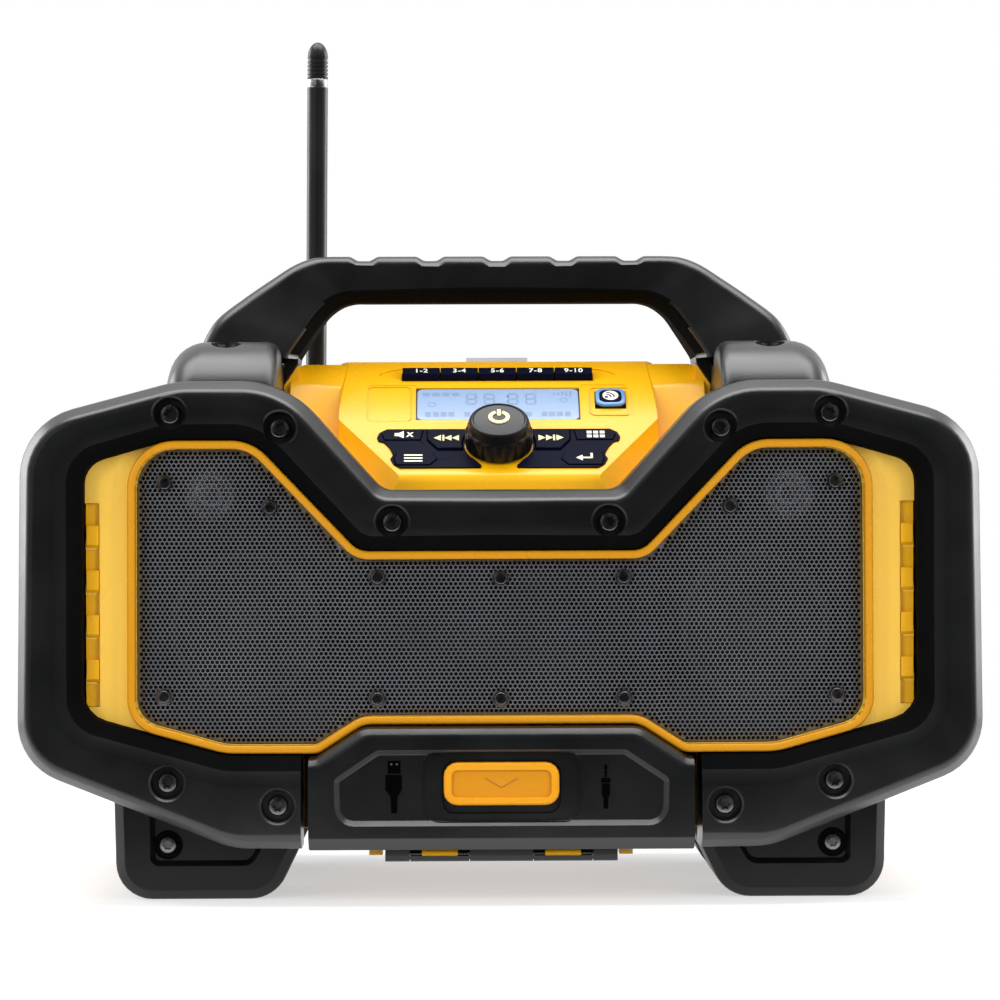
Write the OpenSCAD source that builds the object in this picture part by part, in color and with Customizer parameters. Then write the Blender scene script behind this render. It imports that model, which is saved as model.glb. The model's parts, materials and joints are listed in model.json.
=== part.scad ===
// Jobsite radio with a roll cage, twin speaker lobes, a sloping control console,
// a drop-down device bay and a fold-down aerial.
// Origin: on the floor under the middle of the radio. +X right, -Y front, +Z up.

/* [Body] */
// Width across the bumpers
body_w = 490; // [484:1:500]
// Depth from the front bumper's face to the rear bumper's face
body_d = 260; // [256:1:268]
// Height of the bumpers' top edge
bumper_top = 266; // [264:1:268]
// Height of the bumpers' bottom edge
bumper_bottom = 29; // [28.5:0.5:29.5]
// Depth of each bumper, front to back
bumper_t = 38; // [37:1:40]
// How far each bumper stands proud of the housing around it
bumper_proud = 8; // [7.5:0.5:8.5]
// Wall thickness of the moulded shells
wall = 3; // [2.6:0.2:3.4]

/* [Console] */
// Slope of the control panel above the horizontal
panel_slope = 36.4; // [35.5:0.1:37]
// Height of the console's top ridge
console_top = 280; // [279:0.5:281]

/* [Handle] */
// Height of the grip's top
handle_top = 336.4; // [334:0.2:344]
// Height of the grip's underside
handle_under = 311.8; // [311.6:0.2:315]
// Depth of the grip, front to back
grip_d = 40; // [36:1:44]

/* [Door] */
// Width of the device-bay door
door_w = 195; // [194:0.2:196]
// Width of the door's latch
latch_w = 58.4; // [54:0.2:60]
// Travel of the latch when it is pulled down
latch_travel = 4; // [3:0.5:4]

/* [Aerial] */
// Height of the aerial's tip above the floor
aerial_top = 464; // [430:1:480]
// Diameter of the aerial's sleeve
aerial_d = 11.6; // [10:0.2:12]
// Lean of the aerial towards the right
aerial_lean = 0.5; // [0:0.1:2]

/* [Hidden] */
$fn = 64;

// Colours
c_yellow = [0.96, 0.72, 0.06];
c_black = [0.09, 0.09, 0.095];
c_rubber = [0.13, 0.13, 0.135];
c_key = [0.07, 0.08, 0.12];
c_steel = [0.62, 0.63, 0.65];
c_board = [0.05, 0.30, 0.16];

// Planes along Y
front_y = -body_d / 2;              // face of the front bumper
seat_y = front_y + bumper_t;        // where the front bumper seats on the housing
flange_y = front_y + 16;            // the housing's front flange inside the bumper
rib_y = front_y + 8;                // crest of the yellow rib round the grille
baffle_y = front_y + 21;            // front of the speaker baffle
baffle_t = 3.5;

// ---------- outline helpers: a corner is [x, z, fillet radius, segments] ----------
function unit(v) = v / norm(v);
function xz(c) = [c[0], c[1]];
function cross2(a, b) = a[0] * b[1] - a[1] * b[0];
function wrap180(a) = a > 180 ? a - 360 : a < -180 ? a + 360 : a;

// Points of the fillet at corner b, between its neighbours a and c
function fillet_at(a, b, c) =
    let (u = unit(xz(a) - xz(b)), v = unit(xz(c) - xz(b)), half = acos(u * v) / 2,
         t = b[2] / tan(half), s = xz(b) + u * t, e = xz(b) + v * t,
         o = xz(b) + unit(u + v) * (b[2] / sin(half)),
         a0 = atan2(s[1] - o[1], s[0] - o[0]), a1 = atan2(e[1] - o[1], e[0] - o[0]),
         sweep = wrap180(a1 - a0))
    [for (i = [0:b[3]]) o + b[2] * [cos(a0 + sweep * i / b[3]), sin(a0 + sweep * i / b[3])]];

function rounded(cs) = let (n = len(cs))
    [for (i = [0:n - 1]) each fillet_at(cs[(i + n - 1) % n], cs[i], cs[(i + 1) % n])];
function rounded_open(cs) = let (n = len(cs))
    concat([xz(cs[0])], [for (i = [1:n - 2]) each fillet_at(cs[i - 1], cs[i], cs[i + 1])], [xz(cs[n - 1])]);

// Moves a closed clockwise outline inwards by d, with its fillets
function inset(cs, d) = let (n = len(cs))
    [for (i = [0:n - 1])
        let (a = xz(cs[(i + n - 1) % n]), b = xz(cs[i]), c = xz(cs[(i + 1) % n]),
             e0 = unit(b - a), e1 = unit(c - b), n0 = [e0[1], -e0[0]], n1 = [e1[1], -e1[0]],
             p = b + (n0 + n1) / (1 + n0 * n1) * d,
             r = cross2(e0, e1) < 0 ? max(cs[i][2] - d, 0.4) : cs[i][2] + d)
        [p[0], p[1], r, cs[i][3]]];

// The left half of an outline, followed by its mirror image
function with_mirror(left) = concat(left,
    [for (i = [len(left) - 1:-1:0]) [-left[i][0], left[i][1], left[i][2], left[i][3]]]);
function at_y(pts, y) = [for (p = pts) [p[0], y, p[1]]];

// ---------- solid helpers ----------
// A solid through rings of equally many points. Point i of a ring is capped to point last-i.
module skin(rings, looped = false) {
    n = len(rings[0]);
    m = len(rings);
    sides = [for (j = [0:looped ? m - 1 : m - 2]) for (i = [0:n - 1])
        let (p = j * n, q = ((j + 1) % m) * n, k = (i + 1) % n, a = p + i, b = p + k, c = q + i, d = q + k)
        each [[a, b, d], [a, d, c]]];
    first = looped ? [] : [for (i = [0:n / 2 - 2])
        each [[i, n - 1 - i, i + 1], [i + 1, n - 1 - i, n - 2 - i]]];
    l = (m - 1) * n;
    last = looped ? [] : [for (i = [0:n / 2 - 2])
        each [[l + i, l + i + 1, l + n - 1 - i], [l + i + 1, l + n - 2 - i, l + n - 1 - i]]];
    polyhedron([for (r = rings) each r], concat(sides, first, last), convexity = 10);
}

// A front-view outline taken through levels [[y, inset], ...], from front to back
module loft(cs, levels) {
    skin([for (k = [len(levels) - 1:-1:0]) at_y(rounded(inset(cs, levels[k][1])), levels[k][0])]);
}

// A front-view shape extruded from y0 to y1
module front(y0, y1) {
    translate([0, y1, 0]) rotate([90, 0, 0]) linear_extrude(y1 - y0) children();
}
// A side-view shape (Y, Z) extruded from x0 to x1
module side(x0, x1) {
    translate([x0, 0, 0]) rotate([90, 0, 90]) linear_extrude(x1 - x0) children();
}
// A cylinder along Y from y0 to y1
module bore_y(x, z, r, y0, y1) {
    translate([x, y1, z]) rotate([90, 0, 0]) cylinder(h = y1 - y0, r = r);
}
module box(lo, hi) {
    translate(lo) cube(hi - lo);
}
module both_sides() {
    children();
    mirror([1, 0, 0]) children();
}
// ---------- outlines, seen from the front ----------
half_w = body_w / 2;
v_floor = bumper_top - 55.3;   // floor of the dip in the front bumper
seam_x = door_w / 2 + 3.7;     // end of each lower bumper arm

outer_left = [
    [-half_w, bumper_bottom + 43.3, 32, 4],
    [-half_w + 2, bumper_top - 20.8, 36, 5],
    [-half_w + 81, bumper_top, 60, 3]
];
dip_left = [[-108.7, bumper_top, 50, 5], [-59.6, v_floor, 12, 3]];
foot_corner = [-136, bumper_bottom, 45, 3];

front_outer_half = concat([[-seam_x, bumper_bottom, 0, 1], foot_corner], outer_left, dip_left);
inner_left = [
    [-half_w + 105.4, 77, 40, 3],
    [-half_w + 33.4, 96.8, 15, 4],
    [-half_w + 34, 224, 13, 5],
    [-half_w + 77, 236.2, 30, 3]
];
inner_dip = [[-125.5, 236.1, 25, 5], [-71.8, 179.8, 12, 3]];
front_inner_half = concat([[-seam_x, 77, 0, 1]], inner_left, inner_dip);

// Whole closed outlines run clockwise from the lower left, over the top
foot_corner_closed = [foot_corner[0], foot_corner[1], 45, 5];
outer_dip_closed = with_mirror(concat([foot_corner_closed], outer_left, dip_left));
outer_flat_closed = with_mirror(concat([foot_corner_closed], outer_left));

// Inside of the front bumper, closed along the top of the door
door_step = [[-93.8, 77, 7, 3], [-69.6, 92, 14, 3]];
neck_closed = with_mirror(concat([for (i = [len(door_step) - 1:-1:0]) door_step[i]], inner_left,
    inner_dip));

// The rib that frames the grille
rib_w = 4.2;
rib_left = [
    [-69.6, 92, 14, 3], [-92.4, 77.3, 10, 3], [-139.8, 77.5, 40, 3], [-189, 91.2, 18, 4],
    [-188.7, 235.8, 24, 6], [-125.7, 235.7, 25, 5], [-71.9, 179.5, 12, 3]
];
rib_closed = with_mirror(rib_left);

housing_front = inset(outer_dip_closed, bumper_proud);
housing_rear = inset(outer_flat_closed, bumper_proud);

// ---------- roll cage ----------
// One section of a bumper between an outer and an inner point of its outlines. The bar is
// rounded at the front by r_out outside and r_in inside; s = -1 for the front, 1 for the rear.
function bar_section(o, i, s, r_out, r_in) =
    let (u = unit(i - o), seat = s * (body_d / 2 - bumper_t), face = s * body_d / 2, steps = 3)
    concat(
        [[o[0], seat, o[1]]],
        [for (k = [0:steps]) let (a = 90 * k / steps, p = o + u * r_out * (1 - cos(a)))
            [p[0], face - s * r_out * (1 - sin(a)), p[1]]],
        [for (k = [steps:-1:0]) let (a = 90 * k / steps, p = i - u * r_in * (1 - cos(a)))
            [p[0], face - s * r_in * (1 - sin(a)), p[1]]],
        [[i[0], seat, i[1]]]);

function mirrored_path(half) = concat(half, [for (k = [len(half) - 2:-1:0]) [-half[k][0], half[k][1]]]);

screw_hole_r = 2;
screw_head_r = 4.6;
well_r = 8;
well_depth = 5;
front_wells = [[166.5, 249.2], [111.3, 241.9], [54.8, 194.3], [168.3, 63.3], [112.8, 51.4]];
rear_wells = [[166.5, 249.2], [60, 250], [168.3, 63.3], [60, 52]];
foot_screw = [171.4, 28.2];

module front_bumper() {
    outer = mirrored_path(rounded_open(concat(front_outer_half, [[0, v_floor, 0, 1]])));
    inner = mirrored_path(rounded_open(concat(front_inner_half, [[0, 179.8, 0, 1]])));
    color(c_rubber) difference() {
        skin([for (k = [0:len(outer) - 1]) bar_section(outer[k], inner[k], -1, 8, 7)]);
        both_sides() for (w = front_wells) {
            bore_y(w[0], w[1], well_r, front_y - 1, front_y + well_depth);
            bore_y(w[0], w[1], screw_hole_r, front_y, seat_y + 1);
        }
    }
}
module rear_bumper() {
    outer = rounded(outer_flat_closed);
    inner = rounded(with_mirror(concat([[-half_w + 105.4, 77, 40, 5]], [for (k = [1:3]) inner_left[k]])));
    color(c_rubber) difference() {
        skin([for (k = [0:len(outer) - 1]) bar_section(outer[k], inner[k], 1, 8, 7)], looped = true);
        both_sides() for (w = rear_wells) {
            bore_y(w[0], w[1], well_r, -front_y - well_depth, 1 - front_y);
            bore_y(w[0], w[1], screw_hole_r, -seat_y - 1, -front_y);
        }
    }
}

// ---------- housings ----------
split_y = -2;                   // joint between the front and rear housings
rear_flange_y = -flange_y;
louvre_zs = [118.7, 141.4, 164.1, 186.9];
louvre_half = 6.25;
louvre_x = half_w - 41.4;       // inner side of the louvred windows
louvre_floor_y = flange_y + 8;
window_z = [101, 204.3];
side_step = 1.2;                // how far the side panels stand behind the rib's foot

woofer_x = 130;
woofer_z = 141;
woofer_r = 44;
tweeter_x = 147.5;
tweeter_z = 208;
tweeter_r = 13;
grille_fixings = [[170.5, 214.6], [117.1, 202], [62.5, 166.3], [0, 165.8], [62.7, 104.7], [0, 104.5],
    [171.2, 105.9]];

bay_w = 168;
bay_z0 = 42;
bay_z1 = 73;
bay_back_y = -42;

hinge_y = -114;
hinge_z = 25.4;
knuckle_r = 2.6;
bar_r = 3.6;
pin_r = 1.3;
knuckle_x = 31.3;
knuckle_w = 18.2;
notch_w = 30.6;
hinge_half = 59;

// Runs its children for each fixing on both sides, once on the middle line
module at_fixings(points) {
    for (p = points) {
        translate([p[0], 0, p[1]]) children();
        if (p[0] > 0) translate([-p[0], 0, p[1]]) children();
    }
}
module drill(r, y0, y1) {
    bore_y(0, 0, r, y0, y1);
}

// Lug under the floor of the front housing, round a hinge pin
module hinge_lug() {
    lug_floor = hinge_z - knuckle_r;
    translate([knuckle_x, 0, 0]) difference() {
        side(-knuckle_w / 2, knuckle_w / 2) union() {
            translate([hinge_y, hinge_z]) circle(knuckle_r);
            polygon([[hinge_y, lug_floor], [-94, lug_floor], [-80, 31], [-80, 39],
                [seat_y, 39], [seat_y, 37], [-97, hinge_z + knuckle_r], [hinge_y, hinge_z + knuckle_r]]);
        }
        translate([-knuckle_w, hinge_y, hinge_z]) rotate([0, 90, 0])
            cylinder(h = 2 * knuckle_w, r = pin_r + 0.08);
    }
}
// Tab under the floor of the front housing, beside each end of the hinge
module hinge_tab() {
    side(hinge_half + 1.6, hinge_half + 8.6) polygon([
        [-99, 23.5], [-99, 34], [-93, 37], [seat_y, 37], [seat_y, 39], [-88, 39], [-88, 23.5]]);
}

// Plan view of what is cut away beside the rib, so that the side panels step back
module side_window() {
    translate([0, 0, 60]) linear_extrude(200) polygon([[190.5, flange_y - 1],
        [196, flange_y + side_step], [half_w, flange_y + side_step], [half_w, flange_y - 1]]);
    box([louvre_x, flange_y - 1, window_z[0]], [half_w, louvre_floor_y, window_z[1]]);
}
module louvres() {
    y = louvre_floor_y;
    for (z = louvre_zs) side(louvre_x + 1.7, half_w - 34.3) polygon([
        [y + 1, z + louvre_half], [y - 0.6, z + louvre_half], [flange_y + 1.8, z - 3.2],
        [flange_y + 2.8, z - louvre_half], [y + 1, z - louvre_half]]);
}

// Rib round the grille: a looped bar with a rounded crest, from its crest to d behind the flange's face
module rib(d) {
    levels = [[flange_y + d, rib_w - 0.1], [rib_y + 1.4, rib_w - 0.1], [rib_y + 0.5, rib_w - 0.4],
        [rib_y, rib_w - 1.1],
        [rib_y, 1.5], [rib_y + 0.5, 0.6], [rib_y + 1.5, 0], [flange_y + d, 0]];
    outlines = [for (l = levels) rounded(inset(rib_closed, l[1]))];
    skin([for (k = [0:len(outlines[0]) - 1])
        [for (j = [0:len(levels) - 1]) [outlines[j][k][0], levels[j][0], outlines[j][k][1]]]],
            looped = true);
}

// Front of the body: the neck inside the bumper, the rib round the grille and the louvred sides
module front_frame() {
    ledge_y = baffle_y + baffle_t;
    color(c_yellow) union() {
        difference() {
            front(flange_y, seat_y) polygon(rounded(inset(neck_closed, 0.2)));
            both_sides() side_window();
            front(flange_y - 1, ledge_y) polygon(rounded(inset(rib_closed, rib_w)));
            front(ledge_y - 1, ledge_y + 2) polygon(rounded(inset(rib_closed, rib_w + 4.3)));
            front(ledge_y + 2, seat_y + 1) polygon(rounded(inset(neck_closed, 10)));
        }
        rib(1);
        both_sides() louvres();
    }
}

module front_housing() {
    color(c_yellow) difference() {
        union() {
            difference() {
                front(seat_y, split_y) polygon(rounded(housing_front));
                front(seat_y - 1, seat_y + wall + 1) polygon(rounded(inset(neck_closed, 10)));
                front(seat_y + wall, split_y + 1) polygon(rounded(inset(housing_front, wall)));
            }
            both_sides() {
                hinge_lug();
                hinge_tab();
            }
        }
        box([-bay_w / 2 - 0.1, seat_y - 1, bay_z0 - 0.1],
            [bay_w / 2 + 0.1, seat_y + wall + 1, bay_z1 + 0.1]);
        both_sides() for (w = front_wells) bore_y(w[0], w[1], screw_hole_r, seat_y - 1, seat_y + 14);
    }
}

// Plate that carries the four speakers and the grille
module speaker_baffle() {
    color(c_black) difference() {
        front(baffle_y, baffle_y + baffle_t) polygon(rounded(inset(rib_closed, rib_w + 0.1)));
        both_sides() {
            bore_y(woofer_x, woofer_z, woofer_r - 2, baffle_y - 1, baffle_y + baffle_t + 1);
            bore_y(tweeter_x, tweeter_z, tweeter_r + 0.5, baffle_y - 1, baffle_y + baffle_t + 1);
        }
        at_fixings(grille_fixings) drill(1.5, baffle_y - 1, baffle_y + 8);
    }
}

// ---------- rear housing ----------
battery_w = 84;
battery_z0 = 92;
battery_z1 = 206;
battery_floor_y = 82;

module rear_housing() {
    neck = inset(with_mirror(concat([[-half_w + 105.4, 77, 40, 5]], [for (k = [1:3]) inner_left[k]])), 0.2);
    color(c_yellow) difference() {
        union() {
            difference() {
                union() {
                    front(split_y, -seat_y) polygon(rounded(housing_rear));
                    front(-seat_y, rear_flange_y) polygon(rounded(neck));
                }
                front(split_y - 1, -seat_y - wall) polygon(rounded(inset(housing_rear, wall)));
                front(-seat_y - wall - 1, rear_flange_y - wall) polygon(rounded(inset(neck, 8)));
            }
            box([-battery_w / 2 - 3, battery_floor_y - 3, battery_z0 - 3],
                [battery_w / 2 + 3, rear_flange_y - 1, battery_z1 + 3]);
            both_sides() for (z = [battery_z0 + 10, battery_z1 - 10])
                bore_y(board_post_x, z, 3, board_y + board_t, battery_floor_y - 2);
        }
        difference() {
            box([-battery_w / 2, battery_floor_y, battery_z0],
                [battery_w / 2, rear_flange_y + 1, battery_z1]);
            both_sides() box([battery_w / 2 - 7, battery_floor_y + 12, battery_z0 + 8],
                [battery_w / 2 + 1, battery_floor_y + 17, battery_z1 - 24]);
        }
        // cooling slots beside the battery bay
        both_sides() for (k = [0:6])
            box([104, rear_flange_y - wall - 6, 118 + k * 11], [150, rear_flange_y + 1, 122 + k * 11]);
        both_sides() for (w = rear_wells) bore_y(w[0], w[1], screw_hole_r, -seat_y - 14, rear_flange_y + 1);
        box([inlet_x - inlet_w / 2, rear_flange_y - 26, inlet_z - inlet_h / 2],
            [inlet_x + inlet_w / 2, rear_flange_y + 1, inlet_z + inlet_h / 2]);
    }
}

// Recessed two-pin mains inlet, low on the rear face
inlet_x = 84;
inlet_z = 98;
inlet_w = 27;
inlet_h = 20;
module mains_inlet() {
    y1 = rear_flange_y;
    color(c_black) difference() {
        box([inlet_x - inlet_w / 2, y1 - 26, inlet_z - inlet_h / 2],
            [inlet_x + inlet_w / 2, y1 + 1.2, inlet_z + inlet_h / 2]);
        front(y1 - 18, y1 + 2) translate([inlet_x, inlet_z]) union() {
            for (x = [-4.6, 4.6]) translate([x, 0]) circle(4.2);
            translate([-4.6, -4.2]) square([9.2, 8.4]);
        }
    }
    color(c_steel) for (x = [-4.3, 4.3]) bore_y(inlet_x + x, inlet_z, 1.2, y1 - 18, y1 - 6);
}

// Blade terminals on the floor of the battery bay
module battery_terminals() {
    z0 = battery_z0 + 26;
    color(c_black) box([-24, battery_floor_y, z0], [24, battery_floor_y + 9, z0 + 40]);
    color(c_steel) for (x = [-15:10:15])
        box([x - 0.5, battery_floor_y + 9, z0 + 6], [x + 0.5, battery_floor_y + 17, z0 + 34]);
}

// ---------- feet and rails ----------
foot_d = 72;
foot_face = -92;
foot_recess = [[-180.5, 17.6], [-128, 17.6], [-122, 28], [-122, 45], [-180.5, 45]];
module foot() {
    back = foot_face + foot_d;
    corners = [[-99, 60, 1, 2], [-99, 36, 3, 2], [-118, 0, 14, 6], [-194.5, 0, 16, 6], [-198, 60, 1, 1]];
    color(c_rubber) difference() {
        loft(corners, [[foot_face, 6], [foot_face + 1.5, 3], [foot_face + 4, 0.8], [foot_face + 8, 0],
            [back - 4, 0], [back, 4]]);
        front(foot_face - 1, back + 1) polygon(rounded(inset(outer_flat_closed, bumper_proud)));
        front(foot_face - 1, foot_face + 4) union() {
            polygon(foot_recess);
            translate([-foot_screw[0], foot_screw[1]]) circle(7.8);
        }
        bore_y(-foot_screw[0], foot_screw[1], screw_hole_r, foot_face, foot_face + 30);
    }
}
module foot_front_left() { foot(); }
module foot_front_right() { mirror([1, 0, 0]) foot(); }
module foot_rear_left() { mirror([0, 1, 0]) foot(); }
module foot_rear_right() { mirror([1, 0, 0]) mirror([0, 1, 0]) foot(); }

rail_x0 = 114.5;
rail_x1 = 172.5;
rail_top = 288.8;
saddle_z = 281;
bolt_x = 142;
bolt_y = 62;
bolt_well_r = 8.2;
bolt_z = rail_top - 6;
module rail() {
    hump = [[92, 235], [92, 262], [88, 270], [81, 278.5], [72, 285], [62, 288.4], [46, rail_top],
        [38, saddle_z]];
    profile = concat([for (p = hump) [-p[0], p[1]]], [for (k = [len(hump) - 1:-1:0]) hump[k]]);
    color(c_rubber) difference() {
        intersection() {
            side(rail_x0, rail_x1) polygon(profile);
            front(-93, 93) polygon(rounded([[rail_x1, 235, 1, 1], [rail_x0, 235, 1, 1],
                [rail_x0, rail_top, 7, 4],
                [154, rail_top, 20, 4], [rail_x1 - 1.7, 277.5, 9, 4]]));
        }
        front(-94, 94) polygon(rounded(housing_rear));
        for (y = [-bolt_y, bolt_y]) translate([bolt_x, y, bolt_z]) cylinder(h = 10, r = bolt_well_r);
    }
}
module rail_right() { rail(); }
module rail_left() { mirror([1, 0, 0]) rail(); }
module rail_bolts() {
    color(c_steel) for (x = [-bolt_x, bolt_x], y = [-bolt_y, bolt_y]) translate([x, y, bolt_z])
        difference() {
        cylinder(h = 4, r = 5.5);
        translate([0, 0, 1.5]) cylinder(h = 4, r = 3, $fn = 6);
    }
}

// ---------- handle ----------
// Stations along the left half: outer point, inner point, half depth
handle_stations = [
    [[-159, saddle_z], [-106.5, saddle_z], 35],
    [[-157.2, saddle_z + 8], [-106, saddle_z + 2], 34],
    [[-149.8, handle_top - 34.5], [-102, saddle_z + 8], 31],
    [[-136, handle_top - 23.2], [-97, handle_under - 15.7], 27],
    [[-120.7, handle_top - 12.4], [-91, handle_under - 7.7], 23.5],
    [[-109, handle_top - 4.8], [-84, handle_under - 2.4], 21.5],
    [[-98.6, handle_top - 0.8], [-77, handle_under - 0.2], 20],
    [[-88, handle_top], [-70, handle_under], 20],
    [[0, handle_top], [0, handle_under], 20]
];
// Rounded outside by 6, and bevelled inside over 12 of its depth and 6.8 of its height
function handle_section(st) =
    let (o = st[0], i = st[1], d = st[2] * grip_d / 40, u = unit(i - o),
         over = [[0, 6], [1.8, 1.8], [6, 0]], under = [[6.8, 0], [2.2, 6.5], [0, 12]])
    concat(
        [for (k = [0:2]) let (p = o + u * over[k][0]) [p[0], over[k][1] - d, p[1]]],
        [for (k = [0:2]) let (p = i - u * under[k][0]) [p[0], under[k][1] - d, p[1]]],
        [for (k = [2:-1:0]) let (p = i - u * under[k][0]) [p[0], d - under[k][1], p[1]]],
        [for (k = [2:-1:0]) let (p = o + u * over[k][0]) [p[0], d - over[k][1], p[1]]]);
scallop_pitch = 35.7;
scallop_depth = 2.4;
module handle() {
    n = len(handle_stations);
    right = [for (st = handle_stations) [[-st[0][0], st[0][1]], [-st[1][0], st[1][1]], st[2]]];
    left = [for (k = [n - 2:-1:0]) handle_stations[k]];
    color(c_rubber) union() {
        difference() {
            skin([for (st = concat(right, left)) handle_section(st)]);
            for (k = [-2:2]) front(-30, 30) polygon([
                [k * scallop_pitch - 9.5, handle_top + 1],
                [k * scallop_pitch - 2.5, handle_top - scallop_depth],
                [k * scallop_pitch + 2.5, handle_top - scallop_depth],
                [k * scallop_pitch + 9.5, handle_top + 1]]);
        }
        // toe of each leg, down the inner side of its rail
        both_sides() front(-21, 21) polygon([[-rail_x0 + 0.3, saddle_z + 3.4], [-rail_x0 + 0.3, 267.6],
            [-106.8, 278.3], [-106.3, saddle_z + 0.6], [-108.6, saddle_z + 3.4]]);
    }
}

// ---------- grille ----------
grille_t = 1.2;
grille_y = front_y + 15.5;       // front of the side lobes
grille_centre_y = front_y + 12.5;
grille_outline = inset(rib_closed, rib_w + 0.3);
module speaker_grille() {
    panel = 79;
    slope = 5;
    color([0.2, 0.2, 0.21]) difference() {
        union() {
            difference() {
                front(grille_centre_y, baffle_y) polygon(rounded(grille_outline));
                front(grille_centre_y + grille_t, baffle_y + 1)
                    polygon(rounded(inset(grille_outline, grille_t)));
                both_sides() side(panel, half_w) polygon([[grille_centre_y - 1, 0], [grille_y, 0],
                    [grille_y, 300], [grille_centre_y - 1, 300]]);
            }
            both_sides() intersection() {
                front(grille_centre_y, baffle_y) polygon(rounded(grille_outline));
                translate([0, 0, 70]) linear_extrude(200) polygon([
                    [panel, grille_centre_y], [panel + slope, grille_y], [half_w, grille_y],
                        [half_w, grille_y + grille_t],
                    [panel + slope, grille_y + grille_t], [panel, grille_centre_y + grille_t]]);
            }
        }
        at_fixings(grille_fixings) drill(1.9, grille_centre_y - 1, baffle_y + 1);
    }
}

// Round-headed screw along +Y, its head's top at y = 0
module screw(head_r, head_h, shank_r, length) {
    translate([0, head_h, 0]) rotate([90, 0, 0]) difference() {
        cylinder(h = head_h, r = head_r);
        translate([0, 0, head_h - 1.4]) cylinder(h = 2, r = head_r * 0.42, $fn = 6);
    }
    bore_y(0, 0, shank_r, head_h, length);
}
module grille_screws() {
    color(c_steel) for (p = grille_fixings, s = p[0] > 0 ? [-1, 1] : [1])
        translate([s * p[0], p[0] < 70 ? grille_centre_y - 1.6 : grille_y - 1.6, p[1]])
            screw(3.4, 1.6, 1.5, 12);
}
module front_screws() {
    color(c_steel) both_sides() {
        for (w = front_wells) translate([w[0], front_y + well_depth - 3, w[1]])
            screw(screw_head_r, 3, screw_hole_r, 44);
        translate([foot_screw[0], foot_face + 1, foot_screw[1]]) screw(screw_head_r, 3, screw_hole_r, 24);
    }
}
module rear_screws() {
    color(c_steel) mirror([0, 1, 0]) both_sides() {
        for (w = rear_wells) translate([w[0], front_y + well_depth - 3, w[1]])
            screw(screw_head_r, 3, screw_hole_r, 44);
        translate([foot_screw[0], foot_face + 1, foot_screw[1]]) screw(screw_head_r, 3, screw_hole_r, 24);
    }
}

// ---------- speakers ----------
// A profile of [radius, depth behind the baffle], turned about the speaker's axis
module turned(x, z, y) {
    translate([x, y, z]) rotate([-90, 0, 0]) rotate_extrude() children();
}
module woofer() {
    turned(woofer_x, woofer_z, baffle_y + baffle_t) color(c_black) union() {
        polygon([[woofer_r - 3, 0], [woofer_r + 3, 0], [woofer_r + 3, 3], [woofer_r - 1, 3], [24, 26],
            [24, 30],
            [20, 30], [20, 24], [woofer_r - 3, 3]]);
        polygon([[10, 30], [33, 30], [33, 46], [10, 46]]);
    }
}
module cone() {
    turned(woofer_x, woofer_z, baffle_y + baffle_t) color([0.05, 0.05, 0.05]) polygon([
        [woofer_r - 3, 0], [woofer_r - 3, 1.4], [34, 2], [16, 20], [9, 20], [9, 34], [8, 34], [8, 19],
            [6, 15], [0, 13.5],
        [0, 12.5], [6.5, 13.8], [13, 18.2], [14.5, 18], [32.5, 0.8], [34.5, -2.4], [38, -2.6],
            [woofer_r - 4, -0.4]]);
}
module woofer_right() { woofer(); }
module woofer_left() { mirror([1, 0, 0]) woofer(); }
module speaker_cones() { both_sides() cone(); }
module tweeter() {
    turned(tweeter_x, tweeter_z, baffle_y) color(c_steel) union() {
        polygon([[0, 1.4], [4, 2], [6.5, 3.6], [6.5, 2.4], [9, 3], [tweeter_r - 1, 0], [tweeter_r + 0.5, 0],
            [tweeter_r + 0.5, 8], [0, 8]]);
        polygon([[0, 8], [11, 8], [11, 20], [0, 20]]);
    }
}
module tweeters() { both_sides() tweeter(); }

// ---------- control console ----------
panel_front = [-88, 220];       // front edge of the sloping panel, [y, z]
panel_len = (console_top - panel_front[1]) / sin(panel_slope);
ridge_y = panel_front[0] + panel_len * cos(panel_slope);
panel_half = 84;
console_wall = 3.2;

// A point v up the slope and h above it, as [y, z]
function on_slope(v, h) = [panel_front[0] + v * cos(panel_slope) - h * sin(panel_slope),
                           panel_front[1] + v * sin(panel_slope) + h * cos(panel_slope)];

// Places children on the panel: x right, y up the slope, z out of it
module on_panel() {
    translate([0, panel_front[0], panel_front[1]]) rotate([panel_slope, 0, 0]) children();
}
module plate(h0, h1) {
    translate([0, 0, h0]) linear_extrude(h1 - h0) children();
}

lcd_v = 61.3;
lcd_w = 87;
lcd_h = 30;
preset_v = 86.8;
preset_w = 20.4;
preset_h = 7.6;
knob_v = 22.3;
wireless_at = [59.8, 65];
board_h = -11;
travel = 1;
gap = 0.35;

keypad_2d = [[0, 37], [-58.4, 37], [-62.2, 34], [-63.6, 29.5], [-62.8, 26.5], [-59.9, 25.4], [-57, 20.5],
    [-55.4, 15.9], [-55.2, 13.3], [-56.4, 10.5], [-54.6, 5.8], [-51.3, 2.7], [0, 2.7]];
mute_2d = [[-59.5, 26.8], [-41, 26.8], [-39.6, 35.4], [-58, 35.4], [-61, 32]];
menu_2d = [[-53.2, 4.6], [-36, 4.6], [-32.4, 9.5], [-34.6, 15.4], [-53.4, 15.4], [-54.4, 10]];
seek_2d = [[-37.4, 35.4], [-37.2, 26.2], [-31.9, 18.1], [-12, 18.1], [-12, 35.4]];
collar_r = 18;
// Yellow tongue between the keypads, below the knob
neck_2d = [[-9.7, 2], [-9.2, 4.6], [-13.5, 10.6], [13.5, 10.6], [9.2, 4.6], [9.7, 2]];
// Thumb scoop at the left end of the preset keys
scoop_2d = [[-50, 94.5], [-57, 93], [-62, 90.3], [-63.6, 88.3], [-61.5, 86.2], [-57, 85], [-50, 84.6]];
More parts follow.
